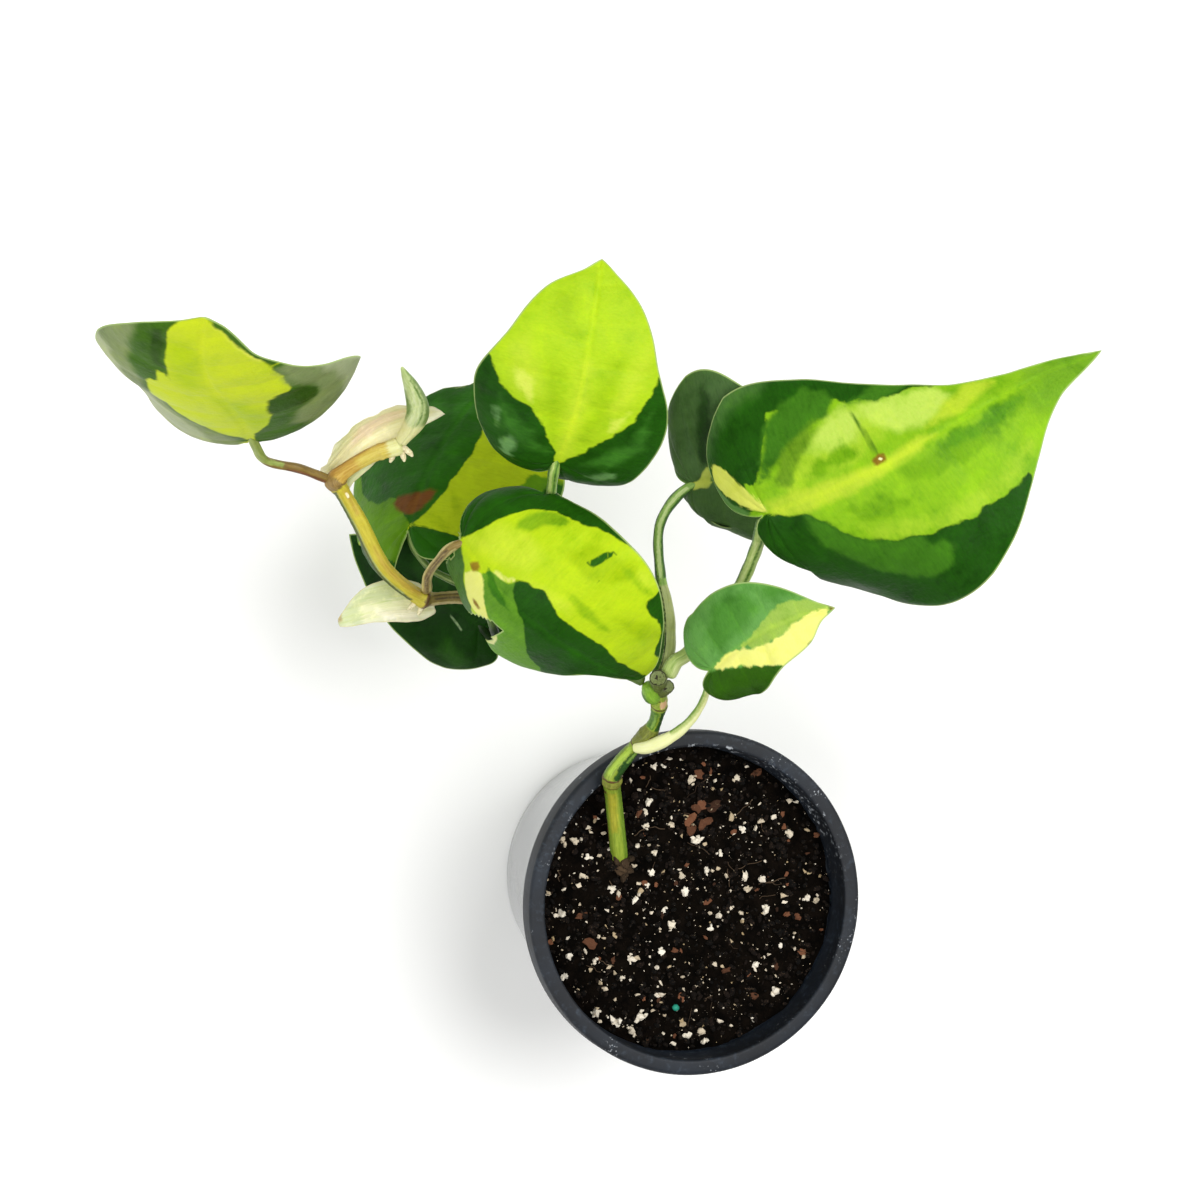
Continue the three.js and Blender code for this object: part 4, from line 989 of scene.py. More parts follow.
SHOOT_LAYERS = (
    ("#b5a572", 0.3, 1, ((30, -5, -1.1), (64, -5, -1.1)), ((30, 1.1, 5), (64, 1.1, 5))),
    ("#4f4322", 0.25, 0.8, ((30, -0.3, 0.2), (63, -0.3, 0.2)), ((30, 0.7, 1), (63, 0.7, 1))),
    ("#5d7a2c", 0.6, 1.5, ((-2, -5, 5), (25, -5, 5))),
    ("#cec244", 0.5, 1.5, ((66, -5, 5), (107.5, -5, 5))),
    ("#c6ac48", 0.9, 1.5, ((68, 0, 1.8), (80, 0, 1.6), (88, 0.4, 1)), ((98, 0.2, 1.4), (106, 0.4, 1.4))),
    ("#5c6a36", 0.25, 0.8, ((69, -5, -1.5), (107, -5, -1.4))),
    # painted highlight: thin pale strip beside the dark left edge line
    ("#aebb7c", 0.15, 0.4, ((72, -1.5, -1.2), (104, -1.5, -1.2))),
    ("#cfae5a", 0.5, 1.5, ((110, -5, 5), (131, -5, 5))),
    ("#dccb70", 1.5, 2, ((117, -1.4, 5), (131, -1.4, 5))),
    ("#bd9650", 0.7, 1.5, ((109, -5, -0.5), (114, -5, -0.9), (121, -5, -1.6))),
    ("#ecebba", 0.8, 1.5, ((126, -5, 5), (131, -5, 5))),
    ("#7a5a30", 0.25, 0.8, ((64.8, -5, 5), (65.8, -5, 5)), ((47, -5, 5), (47.6, -5, 5))),
    ("#a08450", 0.4, 1, ((107.6, -5, 5), (110, -5, 5))),
)
# Leaf stalks: base colour, layers and radii along the stalk
STALKS = {
    "far": ("#8c7336", (
        ("#a4b266", 0.3, 1, ((13, -0.5, 0.8), (21, -0.7, 0.9)), ((20, -5, 5), (40, -5, 5))),
        ("#7b4f30", 0.3, 1, ((0, -3, -0.5), (12, -3, -0.7))),
    ), (1.3, 1.3, 1.2, 1.3)),
    "middle": ("#a18c55", (
        ("#cfc38c", 0.2, 0.8, ((1, -3, -0.8), (28, -3, -0.8)), ((1, 0.8, 3), (28, 0.8, 3))),
        ("#5b4726", 0.15, 0.6, ((1, -0.4, -0.1), (26, -0.4, -0.1)), ((1, 0.25, 0.5), (26, 0.25, 0.5))),
    ), (1.5, 1.3, 1.2, 1.4)),
    "top": ("#93b55c", (
        ("#4e7c30", 0.2, 0.8, ((0, 0.35, 0.8), (56, 0.35, 0.8)), ((0, -3, -1.1), (56, -3, -1.1))),
        ("#bdd088", 0.2, 0.8, ((0, -0.8, -0.2), (56, -0.8, -0.2))),
    ), (1.4, 1.4, 1.4, 1.4, 1.5)),
    "large": ("#b6cb80", (
        ("#cfdca2", 0.3, 1, ((0, 0.5, 4), (24, 0.5, 4)), ((26, -0.9, -0.2), (62, -0.9, -0.2))),
        ("#7d9d4c", 0.2, 0.5, ((2, -0.3, 0), (24, -0.3, 0))),
        ("#567f2c", 0.2, 0.8, ((26, 0.3, 0.9), (62, 0.3, 0.9)), ((24, -4, -1.5), (60, -4, -1.5))),
    ), (2.3, 2.2, 2, 1.9, 1.8, 1.8, 1.9)),
    "dark": ("#b9c28c", (
        ("#98bb66", 0.4, 1, ((26, -4, 4), (60, -4, 4))),
        ("#c6d8a0", 0.2, 1, ((28, -0.5, 0.4), (56, -0.5, 0.4))),
        ("#3f6c22", 0.25, 1,
         ((0, -4, -0.9), (26, -4, -0.8), (36, -4, -1.1), (60, -4, -1.2)),
         ((28, 0.7, 4), (60, 0.8, 4))),
        ("#253f10", 0.12, 0.5, ((0, -0.9, -0.5), (30, -0.8, -0.5))),
    ), (2.4, 2.4, 2.1, 1.5, 1.4, 1.5)),
    "small": ("#f6f8cc", (
        ("#c3d488", 0.4, 1, ((13, -1.2, -0.5), (24, -0.6, 0.1), (50, -0.2, 0.5))),
        ("#83a846", 0.3, 0.6, ((13, -3, -1.2), (24, -3, -0.6), (50, -3, -0.2))),
    ), (1.4, 1.9, 1.9, 1.6, 1.3, 1.1, 1, 1)),
    "back": ("#6c8a46", (("#a3b878", 0.15, 0.5, ((0, -0.6, -0.1), (28, -0.6, -0.1))),), (1.2, 1.1, 1, 1.1)),
    "low": ("#5a7434", (("#1a340e", 2, 1, ((6, -5, 5), (60, -5, 5))),), (1.3, 1.2, 1.1, 1.1, 1.2)),
}


def stalk_path(name):
    """From the node on the stem to the joint, then a little way on under the midrib."""
    leaf = LEAVES[name]
    radii = STALKS[name][2]
    path = [tuple(point) + (radius,) for point, radius in zip(leaf["stalk"], radii)]
    near, far, left, right = blade_surface(leaf, np.array([[0.0, 1.5], [0.0, 5.5], [-1.0, 3.0], [1.0, 3.0]]))
    below = unit(np.cross(right - left, far - near))
    path.append(tuple(near + 1.25 * below) + (0.6 * radii[-1],))
    path.append(tuple(far + 0.85 * below) + (0.3,))
    return path


def grooved(depth):
    """A stalk's round section with a groove along its upper side, and slow swellings."""
    def shape(along, angle, radius):
        groove = depth * np.exp(-((np.mod(angle + math.pi, 2 * math.pi) - math.pi) / 0.5) ** 2)
        return radius * (1 + 0.03 * np.sin(0.9 * along) - groove) + 0.03 * np.sin(5 * angle)
    return shape


def add_stalks():
    for name, (base, layers, _) in STALKS.items():
        material = stem_finish(f"stalk_{name}", base, layers)
        tube_piece(
            f"petiole_{name}", stalk_path(name), material, (f"stalk_{name}",),
            24, 110, grooved(0.14), (0.5, 0.6), layers,
        )


def add_leaves():
    for seed, (name, leaf) in enumerate(LEAVES.items()):
        base, layers = VARIEGATION[name]
        veins_per_side = VEINS_PER_SIDE[name]
        material = leaf_finish(f"leaf_{name}", base, layers, veins_per_side, seed)

        def relief(flat, veins, leaf=leaf, veins_per_side=veins_per_side, seed=seed):
            return blade_relief(leaf, flat, veins, veins_per_side, seed)

        blade_mesh(
            f"blade_{name}", leaf, material, (f"leaf_{name}",), BLADE_THICKNESS,
            BLADE_ROWS, BLADE_COLUMNS, relief, layers,
        )


def add_stem():
    rings = (
        (49.6, 0.12, 0.4), (51.8, 0.16, 0.4), (65, 0.15, 0.4), (70, 0.2, 1.4), (82.2, 0.15, 0.5),
        (84.6, 0.2, 0.8),
    )
    material = stem_finish("stem_skin", "#9cb040", STEM_LAYERS)
    slim = [(x, y, z, radius - 0.2) for x, y, z, radius in STEM_PATH]
    skin = ridged(7, 0.05, rings)
    tube_piece("stem", slim, material, ("main_stem",), 48, 260, skin, layers=STEM_LAYERS)
    bulb = stem_finish("bud_skin", "#8cb83a", BULB_LAYERS)
    tube_piece("bud", BULB_PATH, bulb, (), 28, 30, ridged(4, 0.05), (0.3, 0.8), BULB_LAYERS)
    for i, path in enumerate(STUB_PATHS):
        stub = stem_finish(f"stub_skin_{i}", "#667238", (), "#7f8a5c")
        tube_piece(f"cut_stub_{i}", path, stub, (), 40, 30, ridged(9, 0.05), (0.2, -0.15))


def add_shoot():
    rings = ((26.9, 0.25, 0.5), (47.2, 0.25, 0.5), (65.4, 0.25, 0.6), (109, 0.3, 0.7), (124, 0.2, 0.6))
    material = stem_finish("shoot_skin", "#8a7a42", SHOOT_LAYERS)
    skin = ridged(6, 0.1, rings)
    tube_piece("shoot", SHOOT_PATH, material, ("side_shoot",), 36, 340, skin, layers=SHOOT_LAYERS)
    add_root_nubs()
    add_new_leaf()
    add_bracts()


def add_root_nubs():
    """Short pale stubs of air roots, each bent a little down."""
    finish = Finish("root_tip")
    mottle = finish.noise(finish.place(), 1600, 3, 0.6)
    colour = finish.mix(finish.step(mottle, 0.35, 0.7), "#e9e3bd", "#c9b988")
    finish.set(Base_Color=colour, Roughness=0.55)
    finish.bump(mottle, 0.15)
    for i, (start, direction, length) in enumerate(ROOT_NUBS):
        start = np.array(start, dtype=float)
        step = unit(np.array(direction, dtype=float)) * length
        bend = np.array([0.3, 0.1, -0.25]) * length * 0.15
        path = [
            tuple(start) + (0.95,), tuple(start + 0.45 * step + bend) + (0.85,),
            tuple(start + 0.8 * step + bend) + (0.7,), tuple(start + step) + (0.4,),
        ]
        tube_piece(f"root_nub_{i}", path, finish.material, (), 16, 20, ridged(3, 0.06), (0.5, 0.9))


def add_new_leaf():
    layers = (
        ("#dde6bd", 0.8, 1.5, ((3, -1.6, 0.4), (12, -1.8, 0.3), (24, -0.7, 0))),
        ("#7d9a55", 0.4, 1.2, ((8, 2, 5), (16, 1.8, 5), (29, 0.5, 4)), ((6, -5, -2.6), (22, -5, -2))),
        ("#6d8c48", 0.3, 1.2, ((8, 0.7, 1), (16, 0.9, 1.3), (25, 0.3, 0.6))),
        ("#efedc0", 1.5, 2, ((-1, -5, 5), (8, -5, 5))),
    )
    material = stem_finish("new_leaf_skin", "#c6d4a2", layers)

    def rolled(along, angle, radius):
        spiral = 0.84 + 0.3 * angle / (2 * math.pi)
        return radius * (spiral + 0.04 * np.sin(3 * angle + 0.3 * along))

    tube_piece(
        "rolled_leaf", NEW_LEAF_PATH, material, ("new_leaf",), 56, 100, rolled, (0.4, 0.9),
        layers,
    )


# Bract colours: the sheet's own, then layers as the leaves have them
BRACT_COLOURS = {
    "large": ("#ded7a8", (
        ("#c9cb9c", 2, 4, ((14, -4), (3, 0), (6, 8), (12, 12), (20, 14)),
         ((-1, 26), (-1, 40), (10, 40), (4, 28))),
        ("#e9cfb2", 1.6, 4, ((2, 8), (7, 12), (8, 20), (6, 26), (2, 24), (1, 14))),
        ("#b9bf86", 1, 2, ((-2.4, -4), (-3, 8), (-4, 16), (-14, 16), (-14, -4)),
         ((9, 6), (10.4, 14), (20, 14), (20, 0))),
        ("#f2edc2", 0.8, 2, ((-3, 28), (4, 28), (4, 38), (-3, 38))),
    )),
    "small": ("#d2d2a6", (
        ("#b3bd8e", 1, 3, ((-1.2, 2), (-1, 10), (-2.4, 22), (-14, 22), (-14, 2)),
         ((-6, 18), (8, 18), (8, 28), (-6, 28))),
        ("#e6dfc0", 1, 3, ((1.6, 2), (1.2, 14), (4, 12), (6, 3))),
        ("#efeed6", 0.4, 1, ((-7.4, 2), (-8.6, 8), (-7.8, 14), (-14, 14), (-14, 2))),
        ("#8f7c50", 0.5, 1, ((-1.4, 23.6), (1, 23.6), (1, 26), (-1.4, 26))),
    )),
}


def add_bracts():
    for seed, (name, bract) in enumerate(BRACTS.items()):
        base, layers = BRACT_COLOURS[name]
        finish = Finish(f"bract_{name}")
        x, y, _ = finish.parts(finish.attribute("flat"))
        _, _, edge = finish.parts(finish.attribute("vein"))
        lines = finish.vector(finish.times(x, 1.2), finish.times(y, 0.1), 3.0 * seed)
        streak = finish.noise(lines, 1.5, 3, 0.6)
        blot = finish.noise(finish.vector(x, y, 2.0), 0.35, 4, 0.6)
        jitter = finish.plus(finish.plus(streak, -0.5), finish.plus(blot, -0.5))
        colour = layered(finish, base, layers, jitter)
        colour = finish.mix(finish.step(streak, 0.45, 0.7, 0.0, 0.5), colour, "#8fa060", "SOFT_LIGHT")
        colour = finish.mix(finish.step(blot, 0.5, 0.7, 0.0, 0.6), colour, "#fff6e0", "SOFT_LIGHT")
        colour = finish.mix(finish.step(edge, 0.1, 0.5, 0.4, 0.0), colour, "#b59c66")
        finish.set(Base_Color=colour, Roughness=0.45)
        finish.set(Subsurface_Weight=0.35, Subsurface_Scale=0.003, Subsurface_Radius=(1.0, 0.9, 0.5))
        finish.bump(streak, 0.2)

        def relief(flat, veins, seed=seed):
            points = np.stack([flat[:, 0], flat[:, 1], np.full(len(flat), 4.0 + seed)], -1)
            ribs = 0.08 * np.cos(2.4 * flat[:, 0])
            return ribs + 0.7 * fractal(points, 6, 3, 7.0 + seed) * smoothstep(veins[:, 1], 0.1, 1.0)

        blade_mesh(
            f"papery_bract_{name}", bract, finish.material, (f"bract_{name}",), BRACT_THICKNESS,
            BRACT_ROWS, BRACT_COLUMNS, relief, layers,
        )


# Pot

def arc(centre, radius, start, end, count=6):
    """Points of a rounded corner, angles in degrees."""
    result = []
    for i in range(count + 1):
        angle = math.radians(start + (end - start) * i / count)
        result.append((centre[0] + radius * math.cos(angle), centre[1] + radius * math.sin(angle)))
    return result


def pot_profile():
    """Radius and height along the pot's skin, from its base's middle up, over the rim and down inside."""
    wall_top = POT_HEIGHT - RIM_HEIGHT
    inner = POT_RIM_RADIUS - RIM_WIDTH
    slope = (inner - POT_BASE_RADIUS) / wall_top
    profile = [(0, 0), (POT_BASE_RADIUS - 4, 0), (POT_BASE_RADIUS - 1.3, 0)]
    profile += arc((POT_BASE_RADIUS - 1.3, 1.3), 1.3, -90, 0)
    heights = range(6, int(wall_top), 6)
    profile += [(POT_BASE_RADIUS + slope * z + POT_WALL * z / wall_top, z) for z in heights]
    profile += [(inner + POT_WALL, wall_top - 0.4), (inner + POT_WALL + 0.4, wall_top)]
    profile += arc((POT_RIM_RADIUS - 0.9, wall_top + 0.9), 0.9, -90, 0)
    profile += arc((POT_RIM_RADIUS - 1.5, POT_HEIGHT - 1.5), 1.5, 0, 90)
    profile += arc((inner + 0.9, POT_HEIGHT - 0.9), 0.9, 90, 180)
    profile += [(inner, wall_top + 2), (inner - 0.5, wall_top + 0.5)]
    base_inner = POT_BASE_RADIUS + (inner - POT_BASE_RADIUS) * POT_FLOOR / wall_top - POT_WALL
    profile += [(base_inner, POT_FLOOR), (0, POT_FLOOR)]
    return profile


def circle(radius, around):
    angles = [2 * math.pi * k / around for k in range(around)]
    return [(radius * math.cos(angle), radius * math.sin(angle)) for angle in angles]


def lathe(profile, around):
    """Points and faces of a profile turned about Z."""
    points, faces = [], []
    starts = []
    for r, z in profile:
        starts.append(len(points))
        if r < 1e-6:
            points.append((0, 0, z))
            continue
        points += [(x, y, z) for x, y in circle(r, around)]
    for i in range(len(profile) - 1):
        a, b = starts[i], starts[i + 1]
        lone_a, lone_b = profile[i][0] < 1e-6, profile[i + 1][0] < 1e-6
        for k in range(around):
            n = (k + 1) % around
            if lone_a:
                faces.append([a, b + n, b + k])
            elif lone_b:
                faces.append([a + k, a + n, b])
            else:
                faces.append([a + k, a + n, b + n, b + k])
    return np.array(points), faces


# Heights in metres between which the wall's look turns into the rim's
RIM_EDGE = (0.0695, 0.0715)


def pot_finish():
    """Dark plastic: a glossier wall painted lighter grey as a painted reflection, dust, pale scuffs and
    painted glints on the rim, and painted glints along the inner lip.
    """
    finish = Finish("pot_plastic")
    place = finish.place()
    x, y, z = finish.parts(place)
    cloud = finish.noise(place, 60, 4, 0.6)
    grain = finish.noise(place, 2500, 2, 0.6)
    dust = finish.noise(place, 420, 5, 0.7)
    on_rim = finish.step(z, *RIM_EDGE)
    # Pale specks on the rim: painted glints.
    glint_specks = finish.step(finish.cells(place, 700), 0.08, 0.2, 0.8, 0.0)
    patch = finish.step(finish.noise(place, 110, 3, 0.6), 0.56, 0.7)
    scuff = finish.step(finish.noise(place, 900, 3, 0.7), 0.6, 0.7)
    colour = finish.mix(finish.step(cloud, 0.35, 0.7), "#0d1117", "#161d26")
    # The wall below the rim is painted lighter grey: a painted reflection of the bright room on the glossy
    # wall.
    colour = finish.mix(finish.step(z, 0.067, 0.07, 0.6, 0.0), colour, "#4a5058")
    colour = finish.mix(finish.step(dust, 0.5, 0.8, 0.0, 0.35), colour, "#4b5866")
    # Pale specks and scuffs on the rim, part wear and part painted glints.
    light = finish.times(finish.math("MAXIMUM", glint_specks, scuff), patch)
    colour = finish.mix(finish.times(light, finish.times(on_rim, 0.55)), colour, "#d0d6dc")
    radius = finish.math("SQRT", finish.plus(finish.times(x, x), finish.times(y, y)))
    lip = finish.times(finish.step(radius, 0.0459, 0.0466, 1.0, 0.0), on_rim)
    far_side = finish.step(y, 0.0, 0.03)
    # Patches of painted glint along the inner lip on the far side.
    glint_patches = finish.step(finish.noise(place, 520, 4, 0.7), 0.56, 0.66)
    glint = finish.times(finish.times(lip, far_side), glint_patches)
    colour = finish.mix(finish.times(glint, 0.5), colour, "#d4dae0")
    finish.set(Base_Color=colour, Roughness=finish.step(z, *RIM_EDGE, 0.3, 0.6), Specular_IOR_Level=0.35)
    finish.set(Coat_Weight=finish.step(z, 0.068, 0.07, 1.0, 0.0), Coat_Roughness=0.15, Coat_IOR=1.7)
    finish.bump(finish.plus(finish.times(grain, 0.4), finish.times(dust, 0.6)), 0.12, 0.6)
    return finish.material


def add_pot():
    points, faces = lathe(pot_profile(), POT_AROUND)
    radius = np.hypot(points[:, 0], points[:, 1])
    wobble = 0.12 * fractal(points, 25, 2, 3.0)
    scale = 1 + wobble / np.maximum(radius, 5) * (radius > 30)
    points[:, 0] *= scale
    points[:, 1] *= scale
    add_piece("nursery_pot", points, faces, pot_finish(), ("pot",))


# Soil

# The larger perlite grains, listed: x, y and half of the size
LARGE_GRAINS = ((-10, 39, 1.3), (-7, 39, 1.1), (1, 35, 1.8), (15, 35, 1.3), (-12, 29, 1.5), (-13, 26, 1.1),
 (-13, 22, 1.1), (-5, 22, 1.3), (17, 20, 1.3), (32, 18, 1.7), (-38, 19, 1.3), (-34, 18, 1.5), (-30, 13, 1.3),
 (-32, 8, 1.5), (-10, 14, 1.3), (-16, 10, 1.1), (-11, 8, 1.4), (3, 17, 2), (10, 13, 1.3), (-2, 7, 1.3),
 (-1, 2, 2), (-12, 4, 1.1), (-16, 0, 1.4), (-23, 4, 1.5), (-38, -3, 1.7), (6, 8, 1.5), (18, 6, 1.7),
 (23, 5, 1.7), (19, 2, 1.4), (13, -3, 1.4), (24, -4, 1.7), (37, -1, 1.3), (40, -2, 1.3), (-5, -7, 1.8),
 (-7, -3, 1.3), (7, -9, 1.3), (-8, -15, 1.4), (-17, -17, 1.7), (-36, -15, 1.3), (-28, -17, 1.1),
 (-20, -22, 1.1), (27, -28, 1.8), (29, -15, 1.1), (21, -20, 1.4), (-28, -32, 1.7), (-23, -34, 1.7),
 (-21, -35, 1.7), (-14, -34, 2.4), (-17, -38, 1.8), (0, -40, 1.5), (4, -39, 1.4), (5, -42, 1.4),
 (-9, -28, 1), (-37, -21, 1.4), (-25, -25, 1.1), (21, -36, 1))
BARK_CHIPS = ((5.2, 22.4, 2.9, 1.5), (8.4, 27.3, 2.2, 0.3), (0.8, 23.4, 2.2, 2.8), (-29, -12, 1.8, 2.7),
 (3, 26.4, 1.6, 1.2), (1.4, 20.4, 1.9, 0.6), (4.6, 27.4, 1.8, 2.2))
PRILL = (-3.7, -31.6, 1.1)
STEM_FOOT = (-20.7, 13.6)
# Clods against the foot of the stem: x, y, height and half of the size
FOOT_CLODS = ((-19.6, 11.6, 71.3, 1.9), (-21.8, 12.2, 71.2, 1.4), (-17.6, 12.6, 71, 1.4),
 (-20.6, 9.6, 70.6, 1.9), (-18.2, 9.4, 70.5, 1.7), (-19.4, 7.4, 70.2, 1.5))
# How many are strewn by a seeded rule: grains, crumbs, chips and fibres. Of the crumbs, the first ones
# ring the stem's foot and the next ones heap in front of it.
SMALL_GRAINS = 580
CRUMBS = 1500
FOOT_RING = 60
FOOT_HEAP = 100
CHIPS = 50
FIBRES = 28
SOIL_SEED = 11
FULL_TURN = 6.28


def soil_height(x, y):
    """Smooth height of the soil, with low swells."""
    swell = 0.8 * math.sin(0.21 * x + 1.1) * math.cos(0.17 * y - 0.6)
    return SOIL_LEVEL + swell + 0.3 * math.sin(0.32 * y + 0.2 * x)


def clods(x, y):
    """Crumbly relief of the soil above its smooth height."""
    place = Vector((x, y, 0))
    coarse = noise.fractal(place / 6, 1.0, 2.0, 3)
    fine = noise.fractal(place / 1.6, 1.0, 2.0, 3)
    return 0.9 * coarse + 0.45 * abs(fine) - 0.2


def ground(x, y):
    return soil_height(x, y) + clods(x, y)


def inner_radius_at(z):
    """Radius of the pot's inner wall at a height."""
    wall_top = POT_HEIGHT - RIM_HEIGHT
    outer = POT_BASE_RADIUS + (POT_RIM_RADIUS - RIM_WIDTH + POT_WALL - POT_BASE_RADIUS) * z / wall_top
    return min(outer - POT_WALL, POT_RIM_RADIUS - RIM_WIDTH)


def soil_mesh():
    """The block of soil: a crumbly top in rings, then two plain rings down to the pot's floor."""
    rings, around = SOIL_RINGS, SOIL_AROUND
    outer = inner_radius_at(SOIL_LEVEL) - 0.15
    points = [(0, 0, ground(0, 0))]
    for i in range(1, rings + 1):
        r = outer * i / rings
        drop = 0.8 * max(0, (r - outer + 2.5) / 2.5)
        points += [(x, y, ground(x, y) - drop) for x, y in circle(r, around)]
    for r, z in ((inner_radius_at(40) - 0.4, 40), (inner_radius_at(POT_FLOOR) - 0.5, POT_FLOOR + 0.3)):
        points += [(x, y, z) for x, y in circle(r, around)]
    faces = [[0, 1 + k, 1 + (k + 1) % around] for k in range(around)]
    for i in range(rings + 1):
        for k in range(around):
            a, b = 1 + i * around + k, 1 + i * around + (k + 1) % around
            faces.append([a, a + around, b + around, b])
    lowest = 1 + (rings + 1) * around
    faces.append([lowest + k for k in range(around)][::-1])
    return np.array(points), faces


def soil_finish():
    """Nearly black peat with brown crumbs and a few pale specks."""
    finish = Finish("soil")
    place = finish.place()
    coarse = finish.noise(place, 260, 5, 0.65)
    fine = finish.noise(place, 1500, 4, 0.7)
    colour = finish.mix(finish.step(coarse, 0.35, 0.7), "#030201", "#0f0a06")
    colour = finish.mix(finish.step(fine, 0.6, 0.78, 0.0, 0.6), colour, "#33241a")
    speck = finish.step(finish.cells(place, 1300), 0.05, 0.12, 1.0, 0.0)
    patch = finish.step(finish.noise(place, 300, 2, 0.5), 0.55, 0.62)
    colour = finish.mix(finish.times(speck, patch), colour, "#a89a86")
    finish.set(Base_Color=colour, Roughness=1.0, Specular_IOR_Level=0.05)
    finish.bump(finish.plus(finish.times(fine, 0.6), finish.times(coarse, 0.4)), 0.9, 1.0)
    return finish.material


class Heap:
    """Many small pieces gathered into one mesh, with a random number kept on the points of each."""

    def __init__(self):
        self.points, self.faces, self.draws = [], [], []
        self.count = 0

    def add(self, points, faces, draw):
        self.points.append(points)
        self.faces += [[v + self.count for v in face] for face in faces]
        self.draws.append(np.full((len(points), 3), draw))
        self.count += len(points)

    def piece(self, name, material, smooth=True):
        piece = add_piece(name, np.concatenate(self.points), self.faces, material, (), smooth)
        add_attribute(piece, "draw", np.concatenate(self.draws))


def ball(levels):
    """Points and faces of a unit icosphere."""
    mesh = bmesh.new()
    bmesh.ops.create_icosphere(mesh, subdivisions=levels, radius=1)
    points = np.array([v.co for v in mesh.verts])
    faces = [[v.index for v in face.verts] for face in mesh.faces]
    mesh.free()
    return points, faces


def lump(form, size, stretch, draw, angular):
    """A rough grain: a ball pushed in and out by noise, stretched and turned at random."""
    points, faces = form
    shift = Vector([draw.random() * 90 for _ in range(3)])
    push = []
    for point in points:
        place = Vector(point)
        push.append(1 + angular * noise.noise(place * 1.3 + shift) + 0.12 * noise.noise(place * 3.1 + shift))
    points = points * np.array(push)[:, None] * np.array(stretch) * size
    angle = FULL_TURN * draw.random()
    axis = Vector([draw.random() - 0.5 for _ in range(3)]).normalized()
    return points @ np.array(Matrix.Rotation(angle, 3, axis)).T, faces


def grain_finish(name, light, dark, roughness, size):
    """A grain's skin: its own tone by its random draw, with pits."""
    finish = Finish(name)
    draw, _, _ = finish.parts(finish.attribute("draw"))
    mottle = finish.noise(finish.place(), size, 4, 0.65)
    colour = finish.mix(finish.math("POWER", draw, 1.6), light, dark)
    colour = finish.mix(finish.step(mottle, 0.55, 0.75, 0.0, 0.55), colour, "#6a5540")
    finish.set(Base_Color=colour, Roughness=roughness, Specular_IOR_Level=0.15)
    finish.bump(mottle, 0.3)
    return finish.material


def random_spot(draw, inset=0):
    """A spot on the soil, evenly likely anywhere at least inset away from the pot's wall."""
    angle = draw.random() * 2 * math.pi
    r = (inner_radius_at(SOIL_LEVEL) - 1.2 - inset) * math.sqrt(draw.random())
    return r * math.cos(angle), r * math.sin(angle)


def add_perlite(draw):
    """Large grains, each of four lumps that share one tint, and small ones anywhere."""
    form = ball(1)
    perlite = Heap()
    for x, y, size in LARGE_GRAINS:
        tint = 0.75 * draw.random()
        for part in range(4):
            share = 0.8 if part == 0 else 0.3 + 0.3 * draw.random()
            away = 0 if part == 0 else size * (0.4 + 0.4 * draw.random())
            angle = FULL_TURN * draw.random()
            px, py = x + away * math.cos(angle), y + away * math.sin(angle)
            points, faces = lump(form, size * share, (1, 0.6 + 0.4 * draw.random(), 0.7), draw, 0.8)
            perlite.add(points + (px, py, ground(px, py) + 0.3 * size * share), faces, tint)
    for _ in range(SMALL_GRAINS):
        x, y = random_spot(draw)
        size = 0.22 + 0.95 * draw.random() ** 3
        points, faces = lump(form, size, (1, 0.4 + 0.5 * draw.random(), 0.6), draw, 1.1)
        perlite.add(points + (x, y, ground(x, y) + 0.2 * size), faces, 0.4 + 0.6 * draw.random())
    perlite.piece("perlite", grain_finish("perlite", "#e4dccb", "#a08a64", 0.85, 1400), False)


def add_crumbs(draw):
    """Soil crumbs, and clods against the foot of the stem."""
    crumb, clod = ball(1), ball(2)
    foot_x, foot_y = STEM_FOOT
    crumbs, clumps = Heap(), Heap()
    for i in range(CRUMBS):
        x, y = random_spot(draw)
        if i < FOOT_RING:
            angle = FULL_TURN * draw.random()
            away = 2.6 + 1.6 * draw.random()
            x, y = foot_x + away * math.cos(angle), foot_y + away * math.sin(angle)
        elif i < FOOT_HEAP:
            x, y = foot_x + 5 * (draw.random() - 0.5), foot_y - 3.4 + 3 * (draw.random() - 0.5)
        size = 0.5 + 0.9 * draw.random() ** 2
        points, faces = lump(crumb, size, (1, 0.6 + 0.4 * draw.random(), 0.6), draw, 0.7)
        lift = 1.4 * draw.random() if FOOT_RING <= i < FOOT_HEAP else 0
        crumbs.add(points + (x, y, ground(x, y) + 0.1 * size + lift), faces, draw.random())
    for x, y, height, size in FOOT_CLODS:
        points, faces = lump(clod, size, (1, 0.8, 0.6), draw, 0.7)
        clumps.add(points + (x, y, height), faces, draw.random())
    clumps.piece("foot_clods", grain_finish("clods", "#443525", "#17110b", 0.95, 1800), False)
    crumbs.piece("soil_crumbs", grain_finish("crumbs", "#040302", "#160e09", 0.95, 1800))


def add_bark(draw):
    """Flat brown chips, the first ones listed."""
    form = ball(2)
    bark = Heap()
    chips = list(BARK_CHIPS)
    for _ in range(CHIPS):
        x, y = random_spot(draw)
        chips.append((x, y, 0.7 + 1.0 * draw.random() ** 2, FULL_TURN * draw.random()))
    for x, y, size, angle in chips:
        points, faces = lump(form, size, (1, 0.7, 0.5), draw, 0.9)
        points[:, 2] *= 0.5
        points = points @ np.array(Matrix.Rotation(angle, 3, "Z")).T
        bark.add(points + (x, y, ground(x, y) + 0.2 * size), faces, draw.random())
    bark.piece("bark_chips", grain_finish("bark", "#6e4630", "#1d120b", 0.9, 1500), False)


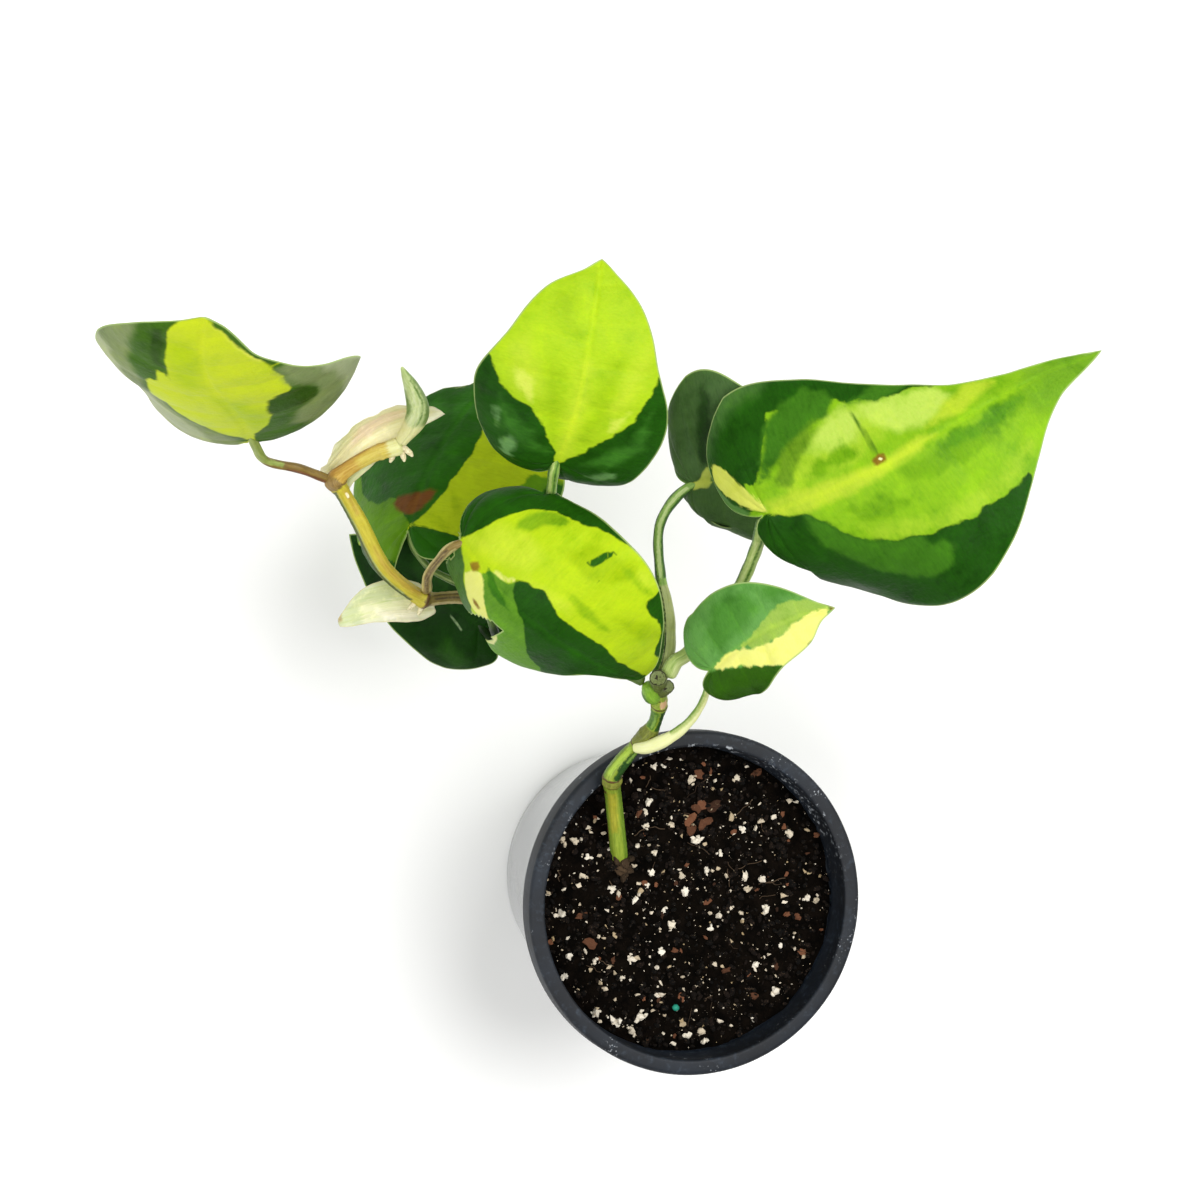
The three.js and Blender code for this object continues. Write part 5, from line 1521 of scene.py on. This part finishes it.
def add_fibres(draw):
    """Thin bits of root and straw that lie on the soil."""
    fibres = Heap()
    for _ in range(FIBRES):
        x, y = random_spot(draw, 4)
        angle, length = FULL_TURN * draw.random(), 2.5 + 5 * draw.random()
        path = []
        for i in range(5):
            share = i / 4
            px = x + length * share * math.cos(angle) + 0.8 * (draw.random() - 0.5)
            py = y + length * share * math.sin(angle) + 0.8 * (draw.random() - 0.5)
            path.append((px, py, ground(px, py) + 0.25 + 0.3 * draw.random(), 0.1 + 0.06 * draw.random()))
        points, faces, _ = sweep(path, 5, 16)
        fibres.add(points, faces, draw.random())
    fibres.piece("fibres", grain_finish("fibres", "#4c3d2e", "#241a12", 0.85, 900))


def add_prill(draw):
    """The one bead of fertiliser."""
    x, y, size = PRILL
    points, faces = lump(ball(3), size, (1, 0.9, 0.8), draw, 0.08)
    prill = Heap()
    prill.add(points + (x, y, ground(x, y) + 0.5 * size), faces, 0.5)
    prill.piece("fertiliser_prill", grain_finish("prill", "#1f7f6a", "#2a8f78", 0.4, 900))


def add_soil():
    points, faces = soil_mesh()
    add_piece("potting_soil", points, faces, soil_finish(), ("soil",))
    draw = random.Random(SOIL_SEED)
    add_perlite(draw)
    add_crumbs(draw)
    add_bark(draw)
    add_fibres(draw)
    add_prill(draw)


# Stage

# Lights in metres and watts: place, size and power, all aimed at the plant
LIGHTS = {"key": ((0.6, 0.6, 1.7), 1.7, 36), "fill": ((-1.2, -0.5, 1.5), 1.8, 26)}
LIGHT_TARGET = (-0.04, 0.06, 0.05)
SKY_STRENGTH = 0.36
# Half of the floor's side, in metres
FLOOR_REACH = 3.0


def add_stage():
    finish = Finish("floor")
    tone = finish.noise(finish.place(), 4, 3, 0.5)
    finish.set(Base_Color=finish.mix(finish.step(tone, 0.3, 0.7), "#f4f4f2", "#fafaf8"), Roughness=0.85)
    mesh = bpy.data.meshes.new("floor")
    corners = [(x * FLOOR_REACH, y * FLOOR_REACH, 0) for x, y in ((-1, -1), (1, -1), (1, 1), (-1, 1))]
    mesh.from_pydata(corners, [], [[0, 1, 2, 3]])
    floor = bpy.data.objects.new("floor", mesh)
    mesh.materials.append(finish.material)
    bpy.context.collection.objects.link(floor)


def add_camera():
    data = bpy.data.cameras.new("camera")
    data.lens = LENS
    data.sensor_width = SENSOR
    data.clip_end = 20
    tilt_x, tilt_y = (math.radians(value) for value in CAMERA_TILT)
    down = -math.sqrt(1 - math.sin(tilt_x) ** 2 - math.sin(tilt_y) ** 2)
    ahead = Vector((math.sin(tilt_x), math.sin(tilt_y), down))
    right = ahead.cross(Vector((0, 1, 0))).normalized()
    up = right.cross(ahead)
    camera = bpy.data.objects.new("camera", data)
    place = Matrix.Translation(Vector(CAMERA_PLACE) * MM)
    camera.matrix_world = place @ Matrix((right, up, -ahead)).transposed().to_4x4()
    bpy.context.collection.objects.link(camera)
    bpy.context.scene.camera = camera


def add_light(name, place, size, power):
    data = bpy.data.lights.new(name, "AREA")
    data.shape = "DISK"
    data.size = size
    data.energy = power
    light = bpy.data.objects.new(name, data)
    light.location = place
    light.rotation_euler = (Vector(LIGHT_TARGET) - Vector(place)).to_track_quat("-Z", "Y").to_euler()
    bpy.context.collection.objects.link(light)


def add_lights():
    world = bpy.data.worlds.new("studio")
    world.use_nodes = True
    background = world.node_tree.nodes["Background"]
    background.inputs["Color"].default_value = (1, 1, 1, 1)
    background.inputs["Strength"].default_value = SKY_STRENGTH
    bpy.context.scene.world = world
    for name, (place, size, power) in LIGHTS.items():
        add_light(name, place, size, power)
    bpy.context.scene.view_settings.view_transform = "Standard"


add_camera()
add_stage()
add_lights()
add_pot()
add_soil()
add_stem()
add_shoot()
add_stalks()
add_leaves()
